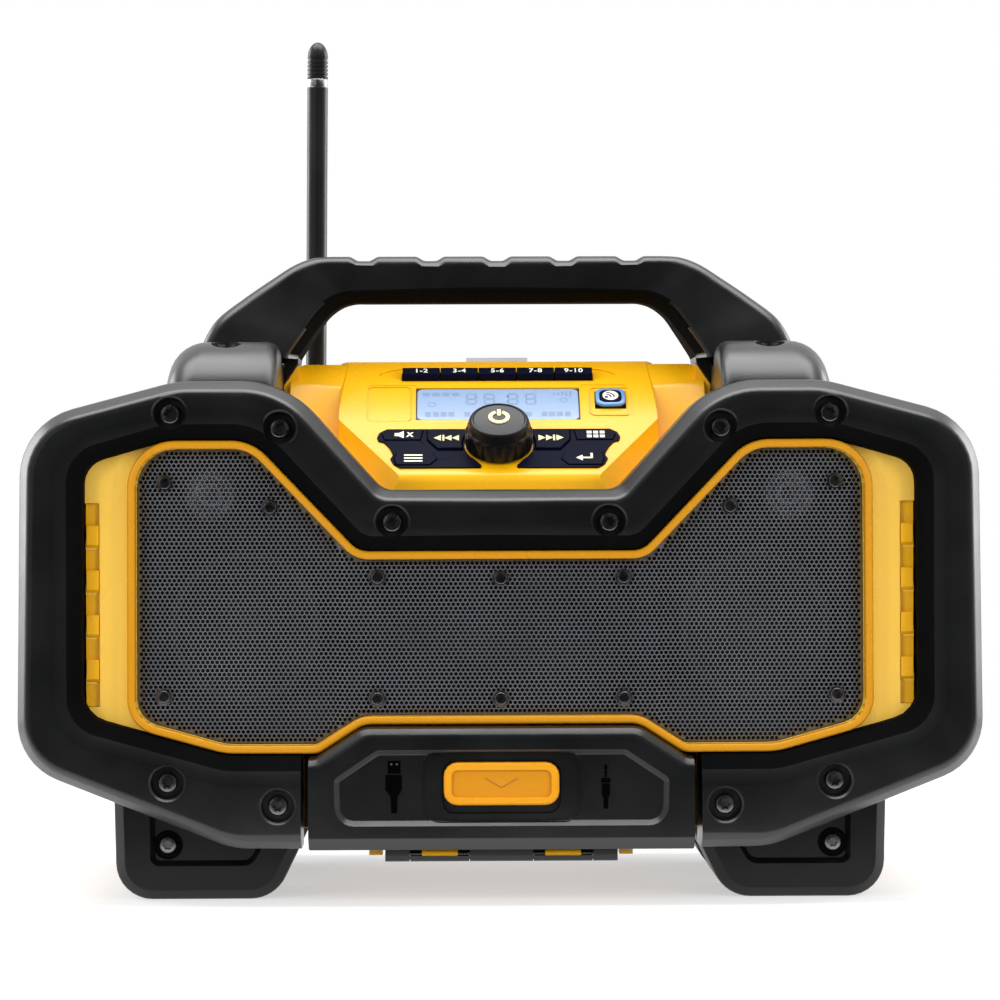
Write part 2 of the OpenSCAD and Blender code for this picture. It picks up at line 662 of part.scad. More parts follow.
// Corner cut: its line on the panel, and how steeply it falls away
corner_line = [[54.8, 1.6], [84.5, 48]];
corner_fall = 48;
edge_line = [[84.5, 50], [80.5, 96]];

module keypad_shape(grow = 0) {
    difference() {
        offset(grow) polygon(keypad_2d);
        translate([0, knob_v]) circle(collar_r);
        polygon(neck_2d);
    }
}
module key_shape(pts, grow = 0) {
    difference() {
        offset(grow) polygon(pts);
        translate([0, knob_v]) circle(collar_r + 1.2 - grow);
    }
}
module all_key_shapes(grow) {
    for (pts = [mute_2d, menu_2d, seek_2d]) key_shape(pts, grow);
}

// What lies outside a line on the panel and above a plane that falls away from it, moved inwards by d
module bevel_off(line, fall, d) {
    run = line[1] - line[0];
    on_panel() translate([line[0][0], line[0][1], 0]) rotate([0, 0, atan2(run[1], run[0])])
        rotate([fall, 0, 0]) translate([-40, -60, -d]) cube([160, 60, 40]);
}
module panel_bevels(d) {
    both_sides() bevel_off(corner_line, corner_fall, d);
}

module console() {
    main = [[-91.4, 200], [-91.4, 214.5], [-90.6, 217.6], [-88.6, 219.8], on_slope(1.5, 0),
        on_slope(panel_len - 3, 0),
        [ridge_y + 1, console_top], [ridge_y + 6, console_top - 0.6], [ridge_y + 10, console_top - 3],
        [ridge_y + 30, 257], [ridge_y + 30, 200]];
    inner = [[-88, 199], [-88, 213], on_slope(4, -console_wall), on_slope(panel_len - 4, -console_wall),
        [ridge_y + 5, console_top - 4.5], [ridge_y + 24, 257], [ridge_y + 24, 199]];
    block = [[-50, 200], [-43, 232], on_slope(80, -1), [ridge_y - 1, console_top - 1.2],
        [ridge_y + 5, console_top - 1.4], [ridge_y + 10, console_top - 4], [ridge_y + 30, 257],
            [ridge_y + 30, 200]];
    shoulder = [[-111, 230, 1, 2], [-110.6, console_top - 7.5, 6, 4], [-104.5, console_top - 1.5, 4, 4]];
    apron = [[-106, 250], [-114.2, 250], [-114.2, 267], [-107, 277.5], [-106, 277.8]];
    color(c_yellow) difference() {
        union() {
            difference() {
                side(-panel_half, panel_half) polygon(main);
                panel_bevels(0);
                both_sides() bevel_off(edge_line, 45, 0);
            }
            intersection() {
                side(-112, 112) polygon(block);
                front(-60, 60) polygon(rounded(with_mirror(shoulder)));
            }
            both_sides() front(-20, 28) polygon(apron);
        }
        front(-100, split_y) polygon(rounded(housing_front));
        front(split_y - 1, 60) polygon(rounded(housing_rear));
        difference() {
            side(-panel_half + console_wall, panel_half - console_wall) polygon(inner);
            panel_bevels(console_wall);
            front(-100, split_y) polygon(rounded(inset(outer_dip_closed, bumper_proud - console_wall)));
            front(split_y - 1, 60) polygon(rounded(inset(outer_flat_closed, bumper_proud - console_wall)));
        }
        on_panel() {
            translate([0, lcd_v, -10]) linear_extrude(12) square([lcd_w, lcd_h], center = true);
            translate([-2.5 * preset_w - gap, preset_v - preset_h / 2 - gap, -10])
                cube([5 * preset_w + 2 * gap, preset_h + 2 * gap, 20]);
            plate(-1.4, 5) union() {
                keypad_shape();
                mirror([1, 0]) keypad_shape();
            }
            plate(-10, 5) union() {
                all_key_shapes(gap);
                mirror([1, 0]) all_key_shapes(gap);
            }
            both_sides() {
                plate(-0.4, 5) polygon([[-69, 47], [-67.5, 45.5], [-44, 45.5], [-44, 79], [-67.5, 79],
                    [-69, 77.5]]);
                plate(-0.8, 5) polygon(scoop_2d);
            }
            translate([wireless_at[0], wireless_at[1], -10]) linear_extrude(20)
                square([16.6, 16], center = true);
            translate([0, knob_v, -10]) cylinder(h = 20, r = 4.2);
        }
    }
}

// Cap of the ridge's middle, above the display
module ridge_cap() {
    z = console_top;
    color([0.72, 0.73, 0.75]) side(-16.5, 16.5)
        polygon([[-2, z + 1.8], [-1, z + 2.3], [10, z + 2.3], [12, z + 1.3],
        [12, z - 11.6], [ridge_y + 10, z - 3], [ridge_y + 6, z - 0.6], [-2, z - 0.43]]);
}

module keypad_bezels() {
    color(c_key) on_panel() for (m = [0, 1]) mirror([m, 0, 0]) difference() {
        plate(-1.4, 0.9) keypad_shape();
        plate(-2, 2) all_key_shapes(gap);
    }
}
module pad_key(pts, m, top) {
    color(c_key) on_panel() mirror([m, 0, 0]) plate(board_h + travel + 0.4, top) key_shape(pts);
}
module mute_key() { pad_key(mute_2d, 0, 1.5); }
module menu_key() { pad_key(menu_2d, 0, 1.5); }
module seek_back_key() { pad_key(seek_2d, 0, 2.2); }
module mode_key() { pad_key(mute_2d, 1, 1.5); }
module enter_key() { pad_key(menu_2d, 1, 1.5); }
module seek_forward_key() { pad_key(seek_2d, 1, 2.2); }

module preset_key(k) {
    color(c_key) on_panel() translate([(k - 3) * preset_w, preset_v, 0])
        side(-preset_w / 2 + 0.2, preset_w / 2 - 0.2)
        polygon([[-preset_h / 2, board_h + travel + 0.4], [-preset_h / 2, 3], [-preset_h / 2 + 1, 4],
            [preset_h / 2 - 1, 4], [preset_h / 2, 3], [preset_h / 2, board_h + travel + 0.4]]);
}
module preset_key_1() { preset_key(1); }
module preset_key_2() { preset_key(2); }
module preset_key_3() { preset_key(3); }
module preset_key_4() { preset_key(4); }
module preset_key_5() { preset_key(5); }

module wireless_bezel() {
    color([0.55, 0.72, 0.88]) on_panel() translate([wireless_at[0], wireless_at[1], 0]) difference() {
        plate(-3, 1.6) square([16.6, 16], center = true);
        plate(-4, 2) square([13.2, 12.6], center = true);
    }
}
module wireless_key() {
    color(c_key) on_panel() translate([wireless_at[0], wireless_at[1], 0])
        plate(board_h + travel + 0.4, 2.6) square([12.4, 11.8], center = true);
}
module lcd_lens() {
    color([0.66, 0.80, 0.93]) on_panel() translate([0, lcd_v, 0]) plate(-1.8, -0.4)
        square([lcd_w, lcd_h], center = true);
}
// Board under the panel, with the display module and the rotary encoder on it
module control_board() {
    color(c_board) on_panel() plate(board_h - 1.6, board_h)
        polygon([[-54, 3], [54, 3], [69, 20], [69, 93], [-69, 93], [-69, 20]]);
    color([0.75, 0.77, 0.78]) on_panel() translate([0, lcd_v, 0]) plate(board_h, -1.8)
        square([lcd_w - 1, lcd_h - 1], center = true);
    color(c_steel) on_panel() translate([0, knob_v, 0]) difference() {
        plate(board_h, -4.6) square([13, 12], center = true);
        translate([0, 0, -8.4]) cylinder(h = 6, r = 3.15);
    }
}
module encoder_shaft() {
    color(c_steel) on_panel() translate([0, knob_v, -7.2]) cylinder(h = 20.2, r = 3);
}
knob_grips = 16;
module knob() {
    color(c_black) on_panel() translate([0, knob_v, 0]) difference() {
        rotate_extrude() polygon([[0, 1.3], [17.2, 1.3], [17.6, 1.9], [17.5, 10.6], [17, 11.5],
            [15.9, 12.1],
            [15.8, 15.2], [15.2, 16.6], [14.3, 17.4], [13.7, 17.5], [13.2, 17.1], [0, 16.6]]);
        cylinder(h = 13.2, r = 3.1);
        for (k = [1:knob_grips]) rotate([0, 0, (k - 0.5) * 360 / knob_grips]) translate([21.2, 0, 3])
            cylinder(h = 20, r = 4.5);
    }
}

// ---------- boards inside ----------
board_y = 74;
board_t = 1.6;
board_post_x = 34;
module main_board() {
    color(c_board) box([-39, board_y, battery_z0 + 2], [39, board_y + board_t, battery_z1 - 2]);
    color(c_steel) box([-30, board_y - 22, battery_z0 + 60], [26, board_y, battery_z0 + 90]);
    color(c_black) for (x = [-24, -8, 8]) translate([x, board_y, battery_z0 + 26]) rotate([90, 0, 0])
        cylinder(h = 24, r = 6.4);
}
module power_supply() {
    color(c_steel) box([50, 44, bumper_bottom + bumper_proud + wall], [112, 77, 84]);
}

// ---------- device bay ----------
liner_t = 2;
usb_x = -44;
usb_z = 57;
usb_w = 14.5;
usb_h = 7.5;
usb_back_y = -30;
jack_y = -51;
jack_z = 57;
jack_half = [7, 6.5];           // half of the jack's body, along Y and Z
jack_r = 1.8;
jack_depth = 14.5;

// Tube of the bay, open at both ends, with a flange behind the door
module bay_liner() {
    color(c_black) difference() {
        union() {
            box([-bay_w / 2, seat_y, bay_z0], [bay_w / 2, bay_back_y - liner_t, bay_z1]);
            box([-seam_x + 0.4, seat_y - 2.5, bay_z0 - 4.4], [seam_x - 0.4, seat_y, bay_z1 + 3.2]);
        }
        box([-bay_w / 2 + liner_t, seat_y - 3, bay_z0 + liner_t],
            [bay_w / 2 - liner_t, bay_back_y, bay_z1 - liner_t]);
        box([bay_w / 2 - liner_t - 1, jack_y - jack_half[0], jack_z - jack_half[1]],
            [bay_w / 2 + 1, bay_back_y, jack_z + jack_half[1]]);
    }
}
module bay_back() {
    color(c_black) difference() {
        box([-bay_w / 2, bay_back_y - liner_t, bay_z0], [bay_w / 2, bay_back_y, bay_z1]);
        box([usb_x - usb_w / 2, bay_back_y - 5, usb_z - usb_h / 2],
            [usb_x + usb_w / 2, bay_back_y + 1, usb_z + usb_h / 2]);
    }
}
module usb_port() {
    y0 = bay_back_y - liner_t - 0.6;
    color(c_steel) difference() {
        box([usb_x - usb_w / 2, y0, usb_z - usb_h / 2], [usb_x + usb_w / 2, usb_back_y, usb_z + usb_h / 2]);
        box([usb_x - 6.3, y0 - 1, usb_z - 2.4], [usb_x + 6.3, usb_back_y - 1, usb_z + 2.4]);
    }
    color(c_black) box([usb_x - 5.8, y0 + 0.4, usb_z - 0.2], [usb_x + 5.8, usb_back_y - 1, usb_z + 1.6]);
}
// Audio socket in the right wall of the bay, its blind bore along X
module aux_jack() {
    x0 = bay_w / 2 - liner_t;
    color(c_black) difference() {
        box([x0, jack_y - jack_half[0], jack_z - jack_half[1]],
            [x0 + 16, jack_y + jack_half[0], jack_z + jack_half[1]]);
        translate([x0 - 1, jack_y, jack_z]) rotate([0, 90, 0]) cylinder(h = jack_depth + 1, r = jack_r);
    }
}

// ---------- door of the device bay ----------
door_bottom = 28.6;
door_top = 91.1;
door_face = front_y;
door_back = -112;
recess_d = 2.5;
latch_recess_d = 6;
latch_z = 62.2;
latch_h = 21.8;
door_corners = [[-112, door_bottom, 1, 2], [-112, 75.2, 1, 2], [-94.2, 75.4, 5, 4],
    [-69.9, door_top, 14, 4]];
door_wall = 3;
door_cavity = [[-door_w / 2 + door_wall, door_bottom + door_wall, 1, 1],
    [-door_w / 2 + door_wall, 72.4, 1, 1],
    [-93.3, 72.4, 1, 1], [-69, 88.1, 12, 3]];
recess_corners = [[-84, 39, 10, 4], [-84.6, 63.5, 3, 3], [-63.9, 77.5, 4, 3]];
centre_recess = [[-41, 41.5, 8, 4], [-41, 78, 6, 4]];
centre_recess_d = 4.2;
pocket = [[-latch_w / 2 - 0.8, latch_z - latch_h / 2 - latch_travel - 0.4, 6, 4],
    [-latch_w / 2 - 0.8, latch_z + latch_h / 2 + 0.8, 6, 4]];

// Outline of the door, inset by d along its top and bottom only
function door_outline(d) = let (cs = inset(with_mirror(door_corners), d), n = len(cs))
    [for (i = [0:n - 1]) i < 2 || i > n - 3 ? [sign(cs[i][0]) * door_w / 2, cs[i][1], cs[i][2],
        cs[i][3]] : cs[i]];

module door() {
    plate_levels = [[door_face, 6.8], [door_face + 0.9, 3.6], [door_face + 3.2, 1.1],
        [door_face + 6.6, 0], [door_back, 0]];
    color(c_rubber) difference() {
        union() {
            difference() {
                skin([for (k = [len(plate_levels) - 1:-1:0])
                    at_y(rounded(door_outline(plate_levels[k][1])), plate_levels[k][0])]);
                front(door_face + 9, door_back + 1) polygon(rounded(with_mirror(door_cavity)));
            }
            box([-6, door_face + 8, door_bottom + 1], [6, door_back, spring_z]);
            side(-hinge_half, hinge_half) union() {
                translate([hinge_y, hinge_z]) circle(bar_r);
                polygon([[hinge_y - bar_r, hinge_z], [hinge_y - bar_r, door_bottom + 1],
                    [door_back, door_bottom + 1], [hinge_y + bar_r, hinge_z]]);
            }
        }
        front(door_face - 1, door_face + recess_d) polygon(rounded(with_mirror(recess_corners)));
        front(door_face - 1, door_face + centre_recess_d) polygon(rounded(with_mirror(centre_recess)));
        front(door_face - 1, door_face + latch_recess_d) polygon(rounded(with_mirror(pocket)));
        box([-stem_w / 2 - gap, door_face, latch_z - 6 - latch_travel - gap],
            [stem_w / 2 + gap, door_face + 9.5, latch_z + 6 + gap]);
        both_sides() {
            box([knuckle_x - notch_w / 2, hinge_y - knuckle_r - 0.3, 10],
                [knuckle_x + notch_w / 2, hinge_y + 6, door_bottom]);
            box([knuckle_x - notch_w / 2, hinge_y - 6, hinge_z - 0.5],
                [knuckle_x + notch_w / 2, hinge_y, door_bottom]);
        }
        translate([-hinge_half - 1, hinge_y, hinge_z]) rotate([0, 90, 0])
            cylinder(h = 2 * hinge_half + 2, r = pin_r);
    }
}
module hinge_pins() {
    color(c_steel) both_sides() translate([knuckle_x - 20, hinge_y, hinge_z]) rotate([0, 90, 0])
        cylinder(h = 40, r = pin_r);
}
stem_w = 20;
module latch() {
    y0 = door_face + 1.4;
    rim = [[-latch_w / 2, latch_z - latch_h / 2, 7, 4], [-latch_w / 2, latch_z + latch_h / 2, 7, 4]];
    color(c_yellow) union() {
        difference() {
            loft(with_mirror(rim), [[y0, 1.2], [y0 + 0.8, 0.2], [y0 + 1.6, 0],
                [door_face + latch_recess_d - 0.4, 0]]);
            front(y0 - 1, y0 + 1.4) polygon(rounded(inset(with_mirror(rim), 4)));
        }
        box([-stem_w / 2, door_face + 4, latch_z - 6], [stem_w / 2, door_face + 16, latch_z + 6]);
        box([-stem_w / 2 - 4, door_face + 9.8, latch_z - 6],
            [stem_w / 2 + 4, door_face + 11.8, latch_z + 14]);
        box([-8, door_face + 9.8, latch_z + 13], [8, door_face + 12.8, door_top - 4]);
    }
}
spring_r = 2.6;
spring_wire_r = 0.55;
spring_turns = 6;
spring_h = 11;
spring_y = door_face + 12.6;
spring_z = latch_z - 6 - latch_travel - 0.4 - spring_h - 2 * spring_wire_r;
// Coil that lifts the latch, drawn at its compressed length
module latch_spring() {
    steps = 10;
    sides = 6;
    rings = [for (k = [0:spring_turns * steps])
        let (a = 360 * k / steps, z = spring_h * k / (spring_turns * steps))
        [for (j = [0:sides - 1]) let (b = 360 * j / sides, r = spring_r + spring_wire_r * cos(b))
            [r * cos(a), r * sin(a), z + spring_wire_r * sin(b)]]];
    color(c_steel) translate([0, spring_y, spring_z + spring_wire_r]) skin(rings);
}

// ---------- aerial ----------
aerial_x = -101.1;
aerial_y = 78;
pivot_z = 268;
roof_z = bumper_top - bumper_proud;
pivot_r = 2.2;
knuckle_len = 13;
cap_len = 21;
ferrule_len = 4.7;
aerial_len = (aerial_top - pivot_z) / cos(aerial_lean);

// Along the aerial, from its pivot
module along_aerial() {
    translate([aerial_x, aerial_y, pivot_z]) rotate([0, aerial_lean, 0]) children();
}
module aerial_base() {
    color(c_black) difference() {
        union() {
            box([aerial_x - 12, aerial_y - 11, roof_z], [aerial_x + 12, aerial_y + 11, roof_z + 2.6]);
            for (s = [-1, 1]) hull() {
                box([aerial_x - 10, aerial_y + s * 9 - 2, roof_z],
                    [aerial_x + 10, aerial_y + s * 9 + 2, roof_z + 2.6]);
                bore_y(aerial_x, pivot_z, 6, aerial_y + s * 9 - 2, aerial_y + s * 9 + 2);
            }
        }
        bore_y(aerial_x, pivot_z, pivot_r, aerial_y - 12, aerial_y + 12);
    }
}
module aerial_pivot() {
    color(c_steel) bore_y(aerial_x, pivot_z, pivot_r, aerial_y - 11.4, aerial_y + 11.4);
}
module aerial_knuckle() {
    color(c_black) difference() {
        union() {
            bore_y(aerial_x, pivot_z, 6.6, aerial_y - knuckle_len / 2, aerial_y + knuckle_len / 2);
            along_aerial() cylinder(h = 9, r = 5.2);
        }
        bore_y(aerial_x, pivot_z, pivot_r + 0.1, aerial_y - 12, aerial_y + 12);
    }
}
module aerial_sleeve() {
    color(c_black) along_aerial() translate([0, 0, 9])
        cylinder(h = aerial_len - 9 - cap_len - ferrule_len, r = aerial_d / 2);
}
module aerial_ferrule() {
    color(c_steel) along_aerial() translate([0, 0, aerial_len - cap_len - ferrule_len])
        cylinder(h = ferrule_len, r = aerial_d / 2);
}
module aerial_cap() {
    r = aerial_d / 2;
    color(c_black) along_aerial() translate([0, 0, aerial_len - cap_len]) rotate_extrude() polygon(concat(
        [[0, 0], [r, 0], [r, cap_len - 9]], [for (a = [15:15:90]) [r * cos(a), cap_len - 9 + 9 * sin(a)]]));
}

front_housing();
front_frame();
rear_housing();
console();
front_bumper();
rear_bumper();
rail_left();
rail_right();
handle();
foot_front_left();
foot_front_right();
foot_rear_left();
foot_rear_right();
speaker_grille();
speaker_baffle();
grille_screws();
front_screws();
rear_screws();
rail_bolts();
woofer_left();
woofer_right();
speaker_cones();
tweeters();
lcd_lens();
keypad_bezels();
ridge_cap();
preset_key_1();
preset_key_2();
preset_key_3();
preset_key_4();
preset_key_5();
mute_key();
menu_key();
seek_back_key();
seek_forward_key();
mode_key();
enter_key();
wireless_bezel();
wireless_key();
knob();
encoder_shaft();
control_board();
main_board();
power_supply();
mains_inlet();
battery_terminals();
bay_liner();
bay_back();
usb_port();
aux_jack();
door();
latch();
latch_spring();
hinge_pins();
aerial_base();
aerial_pivot();
aerial_knuckle();
aerial_sleeve();
aerial_ferrule();
aerial_cap();
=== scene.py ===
"""Looks of the jobsite radio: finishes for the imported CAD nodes, and finer pieces that replace some of them.

Lengths are millimetres, turned into metres by MM where meshes are made. The studio's are metres.
x is right, y is back and z is up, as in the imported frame.
"""
import json
import math

import bmesh
import bpy
import numpy as np
from mathutils import Matrix, Vector


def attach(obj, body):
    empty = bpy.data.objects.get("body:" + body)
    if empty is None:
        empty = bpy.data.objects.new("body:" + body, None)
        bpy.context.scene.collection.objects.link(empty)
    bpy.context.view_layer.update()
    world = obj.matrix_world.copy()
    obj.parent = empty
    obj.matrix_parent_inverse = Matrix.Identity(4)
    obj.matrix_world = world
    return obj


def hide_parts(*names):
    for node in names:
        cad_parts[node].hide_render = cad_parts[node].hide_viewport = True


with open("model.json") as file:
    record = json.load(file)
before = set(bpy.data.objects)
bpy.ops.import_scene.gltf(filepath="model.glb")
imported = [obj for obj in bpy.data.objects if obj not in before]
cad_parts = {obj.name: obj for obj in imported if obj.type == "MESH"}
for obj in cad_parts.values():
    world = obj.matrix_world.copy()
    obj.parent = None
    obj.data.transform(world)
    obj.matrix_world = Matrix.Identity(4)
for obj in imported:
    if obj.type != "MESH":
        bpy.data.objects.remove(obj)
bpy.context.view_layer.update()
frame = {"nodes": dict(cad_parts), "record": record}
nodes = frame["nodes"]
MM = 0.001
SIDES = (("left", -1), ("right", 1))

# -------------------- Dimensions

BODY_W = 490.0
BODY_D = 260.0
HALF_W = BODY_W / 2
TOP = 266.0
BOTTOM = 29.0
BUMPER_T = 38.0
FRONT = -BODY_D / 2
SEAT = FRONT + BUMPER_T
RIB_CREST = FRONT + 8.0
DIP_FLOOR = TOP - 55.3
SEAM_X = 101.2
WINDOW_LOW = 77.0
WINDOW_DIP = 179.8

# outline corners: x, z, fillet radius, all for the left half
OUTER = [(-HALF_W, BOTTOM + 43.3, 32), (-HALF_W + 2, TOP - 20.8, 36), (-HALF_W + 81, TOP, 60)]
DIP = [(-108.7, TOP, 50), (-59.6, DIP_FLOOR, 12)]
FOOT_CORNER = (-136, BOTTOM, 45)
INNER = [(-HALF_W + 105.4, WINDOW_LOW, 40), (-HALF_W + 33.4, 96.8, 15), (-HALF_W + 34, 224, 13),
         (-HALF_W + 77, 236.2, 30)]
INNER_DIP = [(-125.5, 236.1, 25), (-71.8, WINDOW_DIP, 12)]
RIB = [(-69.6, 92, 14), (-92.4, 77.3, 10), (-139.8, 77.5, 40), (-189, 91.2, 18),
       (-188.7, 235.8, 24), (-125.7, 235.7, 25), (-71.9, 179.5, 12)]
RIB_W = 4.2
FRONT_WELLS = [(166.5, 249.2), (111.3, 241.9), (54.8, 194.3), (168.3, 63.3), (112.8, 51.4)]
REAR_WELLS = [(166.5, 249.2), (60, 250), (168.3, 63.3), (60, 52)]
WELL_R = 8.0
WELL_DEPTH = 5.0

# -------------------- Outlines


def polar(r, a, x=0.0, y=0.0):
    """The point at a distance and an angle from another."""
    return x + r * math.cos(a), y + r * math.sin(a)


def fillet(before, corner, after, steps):
    """Points of the arc that rounds a corner, as a list of 2D vectors."""
    b = Vector(corner[:2])
    u = (Vector(before[:2]) - b).normalized()
    v = (Vector(after[:2]) - b).normalized()
    half = u.angle(v) / 2
    reach = corner[2] / math.tan(half)
    centre = b + (u + v).normalized() * corner[2] / math.sin(half)
    start = b + u * reach - centre
    end = b + v * reach - centre
    turn = math.atan2(start.x * end.y - start.y * end.x, start.dot(end))
    return [centre + Matrix.Rotation(turn * i / steps, 2) @ start for i in range(steps + 1)]


def rounded(corners, steps=10):
    """A closed outline with each corner rounded."""
    n = len(corners)
    return [p for i in range(n) for p in fillet(corners[i - 1], corners[i], corners[(i + 1) % n], steps)]


def rounded_open(corners, steps):
    """An open outline with each inner corner rounded."""
    middle = [p for a, b, c in zip(corners, corners[1:], corners[2:]) for p in fillet(a, b, c, steps)]
    return [Vector(corners[0][:2]), *middle, Vector(corners[-1][:2])]


def mirrored(left):
    """The corners of a left half, followed by their mirror images back to the start."""
    return left + [(-x, z, r) for x, z, r in reversed(left)]


def whole(left_half):
    """An open left half outline that ends on the middle line, joined to its mirror image."""
    return left_half + [Vector((-p.x, p.y)) for p in reversed(left_half[:-1])]


def both_signs(points):
    """Each (x, z) point and its mirror image, once if it lies on the middle line."""
    return [(s * x, z) for x, z in points for s in ((-1, 1) if x > 0 else (1,))]


def inset(corners, d):
    """A clockwise outline moved inwards by d, with its fillets."""
    out = []
    n = len(corners)
    for i, (x, z, r) in enumerate(corners):
        e0 = (Vector((x, z)) - Vector(corners[i - 1][:2])).normalized()
        e1 = (Vector(corners[(i + 1) % n][:2]) - Vector((x, z))).normalized()
        n0, n1 = Vector((e0.y, -e0.x)), Vector((e1.y, -e1.x))
        p = Vector((x, z)) + (n0 + n1) / (1 + n0.dot(n1)) * d
        convex = e0.x * e1.y - e0.y * e1.x < 0
        out.append((p.x, p.y, max(r - d, 0.4) if convex else r + d))
    return out


# -------------------- Mesh helpers


def edit_mesh(mesh, change):
    """Applies a change to a mesh as a bmesh."""
    bm = bmesh.new()
    bm.from_mesh(mesh)
    change(bm)
    bm.to_mesh(mesh)
    bm.free()


def face_outwards(bm):
    bmesh.ops.recalc_face_normals(bm, faces=bm.faces)


def piece(name, verts, faces, material, slot, **kw):
    """Makes a mesh object from points in millimetres and dresses it."""
    mesh = bpy.data.meshes.new(name)
    mesh.from_pydata([Vector(v) * MM for v in verts], [], faces)
    mesh.validate()
    return dress(bpy.data.objects.new(name, mesh), material, slot, **kw)


def dress(obj, material, slot, body="chassis", replaces=None, smooth=True):
    """Links an object and gives it its material, body and the node it stands for; slot is not used."""
    bpy.context.scene.collection.objects.link(obj)
    obj.data.materials.append(material)
    edit_mesh(obj.data, face_outwards)
    if smooth:
        shade(obj)
    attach(obj, body)
    if replaces:
        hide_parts(replaces)
    return obj


def shade(obj, degrees=35):
    """Smooth shading that keeps edges sharper than an angle."""
    limit = math.radians(degrees)

    def mark_edges(bm):
        for e in bm.edges:
            e.smooth = e.calc_face_angle(math.pi) < limit

    obj.data.shade_smooth()
    edit_mesh(obj.data, mark_edges)


def shade_flats(obj, degrees=35):
    """Smooth shading with normals weighted by face area, so that flats stay flat beside rounded edges."""
    shade(obj, degrees)
    obj.modifiers.new("weigh", "WEIGHTED_NORMAL").keep_sharp = True


def bevel(obj, width, segments=2):
    """A bevel modifier of a width in millimetres on the sharper edges."""
    mod = obj.modifiers.new("bevel", "BEVEL")
    mod.width = width * MM
    mod.segments = segments
    mod.limit_method = "ANGLE"
    mod.angle_limit = math.radians(30)
    mod.harden_normals = True
    return mod


def ring_faces(rings, points, looped=False):
    """Quads between successive rings of equally many points, with a cap at each end unless looped."""
    faces = []
    for j in range(rings if looped else rings - 1):
        k = (j + 1) % rings
        for i in range(points):
            n = (i + 1) % points
            faces.append((j * points + i, j * points + n, k * points + n, k * points + i))
    if not looped:
        faces += [tuple(range(points)), tuple(range((rings - 1) * points, rings * points))]
    return faces


def sweep(name, sections, material, slot, looped=False, **kw):
    """A solid through closed sections of equally many 3D points, capped at its ends unless looped."""
    faces = ring_faces(len(sections), len(sections[0]), looped)
    return piece(name, [p for s in sections for p in s], faces, material, slot, **kw)


def prism(name, outline, y0, y1, material, slot, **kw):
    """A front-view outline of (x, z) points made solid from y0 to y1."""
    return sweep(name, [[(x, y, z) for x, z in outline] for y in (y0, y1)], material, slot, **kw)


ALONG_X = Matrix.Rotation(math.pi / 2, 3, "Y")
ALONG_Y = Matrix.Rotation(-math.pi / 2, 3, "X")
ALONG_Z = Matrix.Identity(3)


def lathe(profile, centre, axis=ALONG_Y, segments=40):
    """Sections of a profile of (radius, height) pairs turned about an axis through centre."""
    angles = [2 * math.pi * i / segments for i in range(segments)]
    return [[axis @ Vector((*polar(r, a), h)) + Vector(centre) for a in angles] for r, h in profile]


def loft_cutter(sections):
    """A solid through closed sections, used to cut another piece."""
    mesh = bpy.data.meshes.new("cutter")
    points = [Vector(p) * MM for s in sections for p in s]
    mesh.from_pydata(points, [], ring_faces(len(sections), len(sections[0])))
    edit_mesh(mesh, face_outwards)
    obj = bpy.data.objects.new("cutter", mesh)
    bpy.context.scene.collection.objects.link(obj)
    return obj


def turned_cutter(profile, centre, axis=ALONG_Y):
    """A turned solid used to cut another piece."""
    return loft_cutter(lathe(profile, centre, axis, 32))


def block_cutter(low, high):
    """A box between two corners, used to cut another piece."""
    (x0, y0, z0), (x1, y1, z1) = low, high
    return loft_cutter([[(x0, y, z0), (x1, y, z0), (x1, y, z1), (x0, y, z1)] for y in (y0, y1)])


def cut(obj, *cutters):
    """Subtracts cutters from an object and removes them."""
    bpy.context.view_layer.update()
    for c in cutters:
        mod = obj.modifiers.new("cut", "BOOLEAN")
        mod.object = c
        mod.solver = "EXACT"
    depsgraph = bpy.context.evaluated_depsgraph_get()
    mesh = bpy.data.meshes.new_from_object(obj.evaluated_get(depsgraph))
    obj.modifiers.clear()
    obj.data = mesh
    for c in cutters:
        bpy.data.objects.remove(c)


# -------------------- Materials


def node(tree, kind, operation=None, **values):
    """A node with values on its named sockets."""
    made = tree.nodes.new(kind)
    if operation:
        made.operation = operation
    for key, value in values.items():
        made.inputs[key.replace("_", " ")].default_value = value
    return made


def shader(name, color, roughness, metallic=0.0, specular=0.5, coat=0.0):
    """A Principled material, its node tree and its shader."""
    mat = bpy.data.materials.new(name)
    mat.use_nodes = True
    bsdf = mat.node_tree.nodes["Principled BSDF"]
    bsdf.inputs["Base Color"].default_value = (*color, 1)
    bsdf.inputs["Roughness"].default_value = roughness
    bsdf.inputs["Metallic"].default_value = metallic
    bsdf.inputs["Specular IOR Level"].default_value = specular
    bsdf.inputs["Coat Weight"].default_value = coat
    mat.diffuse_color = (*color, 1)
    return mat, mat.node_tree, bsdf


def noise(tree, scale, detail, rough=0.55):
    """A noise texture in object space, with its scale in features per metre."""
    coord = tree.nodes.new("ShaderNodeTexCoord")
    texture = node(tree, "ShaderNodeTexNoise", Scale=scale, Detail=detail, Roughness=rough)
    tree.links.new(coord.outputs["Object"], texture.inputs["Vector"])
    return texture.outputs["Fac"]


def ramp(tree, value, low_in, high_in, low=0.0, high=1.0, interpolation="LINEAR"):
    """Maps a value from one range to another and holds it beyond the ends."""
    made = node(tree, "ShaderNodeMapRange", From_Min=low_in, From_Max=high_in, To_Min=low, To_Max=high)
    made.interpolation_type = interpolation
    tree.links.new(value, made.inputs["Value"])
    return made.outputs["Result"]


def spread(tree, value, low, high):
    """Maps the middle of a noise value's range to another range."""
    return ramp(tree, value, 0.3, 0.7, low, high)


